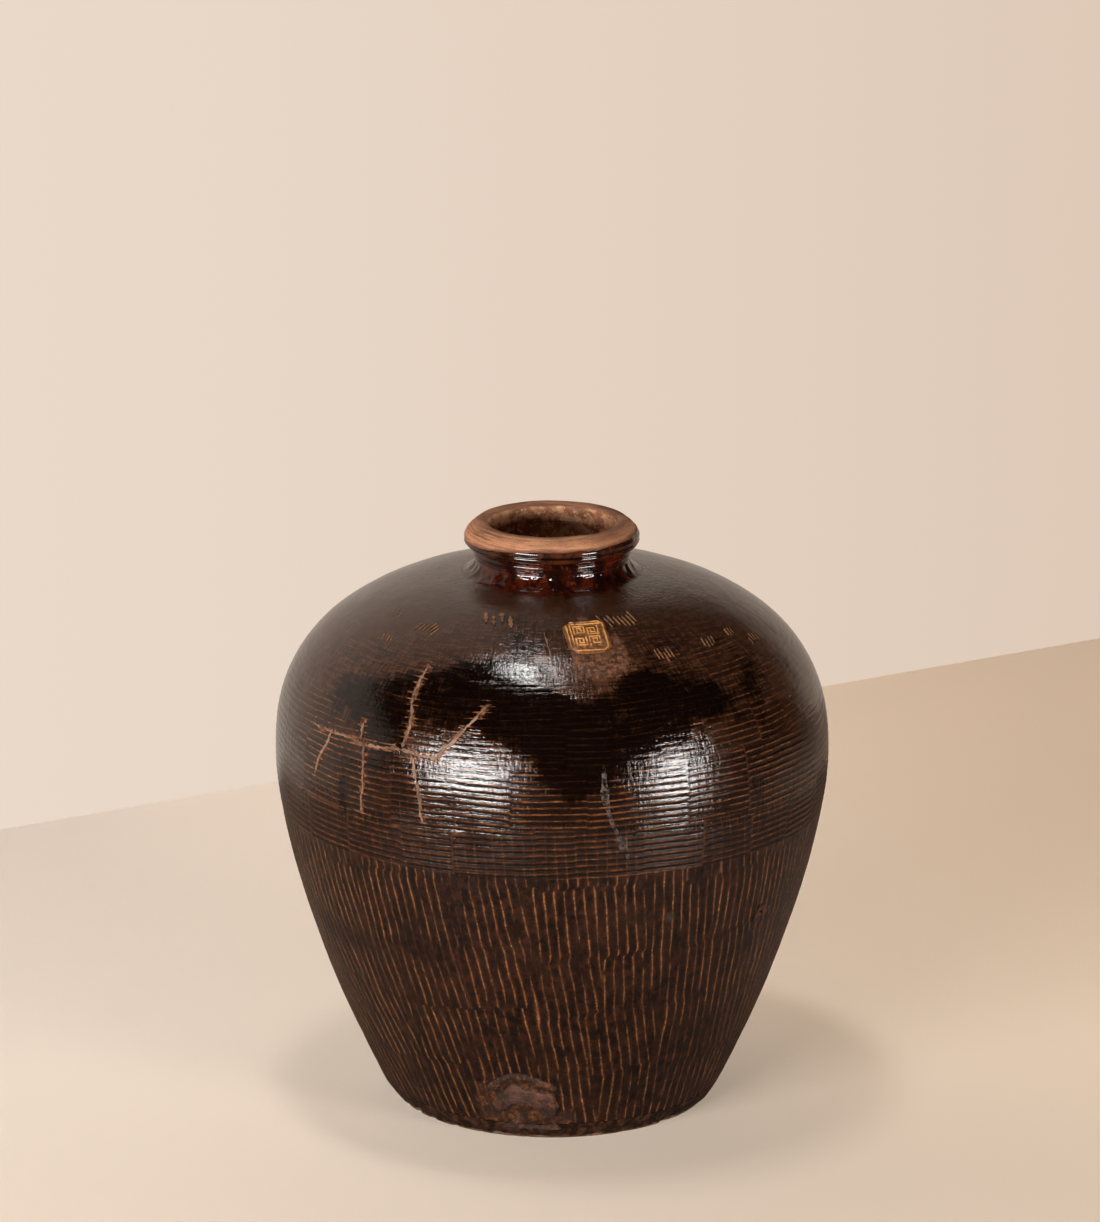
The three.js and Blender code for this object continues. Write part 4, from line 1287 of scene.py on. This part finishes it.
# Stage: a pale beige floor and a wall behind it, which runs back to the right. From behind, the camera
# sees through the wall. The studio behind the camera is dark, so gloss finds the near floor only.
FLOOR_BEIGE = (0.80, 0.665, 0.545)
FLOOR_SHADE = (0.780, 0.648375, 0.531375)
WALL_LEFT = (0.835, 0.705, 0.600)
WALL_RIGHT = (0.715, 0.565, 0.450)
WALL_MIDDLE = (0.035, 0.992)
WALL_HALF_HEIGHT = 0.65
WALL_TURN = math.atan2(0.645, 1.090)
DULL_PAINT = {"Roughness": 0.9, "Specular IOR Level": 0.2}


def flat_sheet(name, wide, tall, paint):
    bm = bmesh.new()
    bmesh.ops.create_grid(bm, x_segments=1, y_segments=1, size=1)
    bmesh.ops.scale(bm, vec=(wide / 2, tall / 2, 1), verts=bm.verts)
    mesh = mesh_from(name, bm, [paint])
    made = put(name, mesh)
    return mesh


def ray(tree, kind):
    return add(tree, "ShaderNodeLightPath", {}, f"Is {kind} Ray")


def principled(tree):
    return Wire(tree, tree.nodes["Principled BSDF"].outputs[0])


def floor_paint(coords):
    tree = coords.tree
    x, y, _ = axes_of(coords)
    glossy = ray(tree, "Glossy")
    shade = mix(ease(speckle(coords, 1.3, 2.0), 0.3, 0.7), FLOOR_BEIGE, FLOOR_SHADE)
    # Painted shade in reflections: for gloss the floor's colour is darkened, almost to black at the front.
    dim = glossy * ease(y, -0.5, 0.3, 0.01, 0.55) + (1.0 - glossy)
    # Painted light: for the camera the floor glows, more further back, neutral on the left and warmer on the
    # right.
    painted_floor_glow = mix(ease(x, -0.5, 0.5), (0.23, 0.235, 0.220), (0.285, 0.215, 0.150))
    strength = ray(tree, "Camera") * ease(y, -0.35, 0.15, 0.6, 1.0)
    glow = add(tree, "ShaderNodeEmission", {"Color": painted_floor_glow, "Strength": strength})
    both = add(tree, "ShaderNodeAddShader", {0: principled(tree), 1: glow})
    feed(tree, tree.nodes["Material Output"], {"Surface": both})
    return {"Base Color": mix(dim, (0.02, 0.016, 0.013), shade), **DULL_PAINT}


def wall_paint(coords):
    tree = coords.tree
    x, _, z = axes_of(coords)
    # Painted shade: the wall is darker towards the right.
    shade = mix(ease(x, -0.9, 1.1), WALL_LEFT, WALL_RIGHT)
    # Painted reflection: for gloss the wall glows, at about half its colour on the left and fading upwards on
    # the right.
    right = ease(x, -0.35, 0.6)
    mirrored = right * ease(z, 0.65, 1.2, 0.48, 0.08) + (1.0 - right) * 0.52
    direct, glossy = ray(tree, "Camera"), ray(tree, "Glossy")
    glow = add(tree, "ShaderNodeEmission", {"Color": shade, "Strength": direct + glossy * mirrored})
    front = add(tree, "ShaderNodeMixShader", {0: largest(direct, glossy), 1: principled(tree), 2: glow})
    back = add(tree, "ShaderNodeNewGeometry", {}, "Backfacing")
    clear = add(tree, "ShaderNodeBsdfTransparent", {})
    both = add(tree, "ShaderNodeMixShader", {0: back, 1: front, 2: clear})
    feed(tree, tree.nodes["Material Output"], {"Surface": both})
    return {"Base Color": shade, **DULL_PAINT}


flat_sheet("floor", 12, 12, finish("floor paint", floor_paint))
backdrop = flat_sheet("backdrop", 9, 2 * WALL_HALF_HEIGHT, finish("wall paint", wall_paint))
across, up, _ = points_of(backdrop).T
set_points(backdrop, np.stack([
    WALL_MIDDLE[0] + across * math.cos(WALL_TURN), WALL_MIDDLE[1] + across * math.sin(WALL_TURN),
    up + WALL_HALF_HEIGHT,
], -1))

# Camera: a long lens at standing height, in front of the jar and looking slightly down. Its place, lens
# and pitch were fitted to the ellipses of the jar's rim, ribs and foot in the photo.
CAMERA_PLACE = (-0.0016, -4.270, 1.613)
CAMERA_PITCH = 15.83
CAMERA_LENS = 162.3
camera_data = bpy.data.cameras.new("camera")
camera_data.lens = CAMERA_LENS
camera_data.sensor_width = 36
camera = put("camera", camera_data)
camera.location = CAMERA_PLACE
camera.rotation_euler = (math.radians(90 - CAMERA_PITCH), 0, 0)
bpy.context.scene.camera = camera

# Lamps: two big softboxes left and right of the camera and a small one overhead. The dark room lights
# the jar only from behind, more on the left, and has one bright corner that only gloss finds.
AIM = Vector((0, 0, 0.30))
LAMP_DISTANCE = 2.3
LAMP_COLOUR = (1.0, 0.975, 0.95)
ROOM_COLOUR = (1.0, 0.86, 0.74)
SEEN_COLOUR = (0.79, 0.65, 0.54)
BRIGHT_CORNER = (-0.42, 0.60, 0.68)


def softbox(name, azimuth, elevation, wide, tall, power):
    data = bpy.data.lights.new(name, "AREA")
    data.shape = "RECTANGLE"
    data.size = wide
    data.size_y = tall
    data.energy = power
    data.color = LAMP_COLOUR
    lamp = put(name, data)
    az, el = math.radians(azimuth), math.radians(elevation)
    away = Vector((math.cos(el) * math.sin(az), -math.cos(el) * math.cos(az), math.sin(el)))
    lamp.location = AIM + away * LAMP_DISTANCE
    lamp.rotation_euler = away.to_track_quat("Z", "Y").to_euler()


softbox("left softbox", -34.0, 9, 1.25, 0.36, 50)
softbox("right softbox", 49.0, 5, 0.76, 0.56, 30)
softbox("top softbox", -60, 84, 0.55, 0.28, 12)

world = bpy.data.worlds.new("studio")
world.use_nodes = True
bpy.context.scene.world = world
sky = world.node_tree
sky.nodes.clear()
towards = add(sky, "ShaderNodeTexCoord", {}, "Generated")
way_x, way_y, way_z = axes_of(towards)
glow = ease(way_x, -0.3, 0.4, 0.27, 0.20) * ease(way_z, 0.35, 0.8, 1.0, 0.35)
light = largest(way_y, 0.0) * glow
near_corner = add(sky, "ShaderNodeVectorMath", {0: towards, 1: BRIGHT_CORNER}, "Value", operation="DOT_PRODUCT")
mirrored = ease(near_corner, 0.86, 0.965, 0.0, 0.34)
strength = add(sky, "ShaderNodeMix", {0: ray(sky, "Glossy"), 2: light, 3: mirrored})
room = add(sky, "ShaderNodeBackground", {"Color": ROOM_COLOUR, "Strength": strength + 0.004})
seen = add(sky, "ShaderNodeBackground", {"Color": SEEN_COLOUR, "Strength": 1.0})
both = add(sky, "ShaderNodeMixShader", {0: ray(sky, "Camera"), 1: room, 2: seen})
feed(sky, sky.nodes.new("ShaderNodeOutputWorld"), {"Surface": both})

bpy.context.scene.view_settings.view_transform = "Standard"
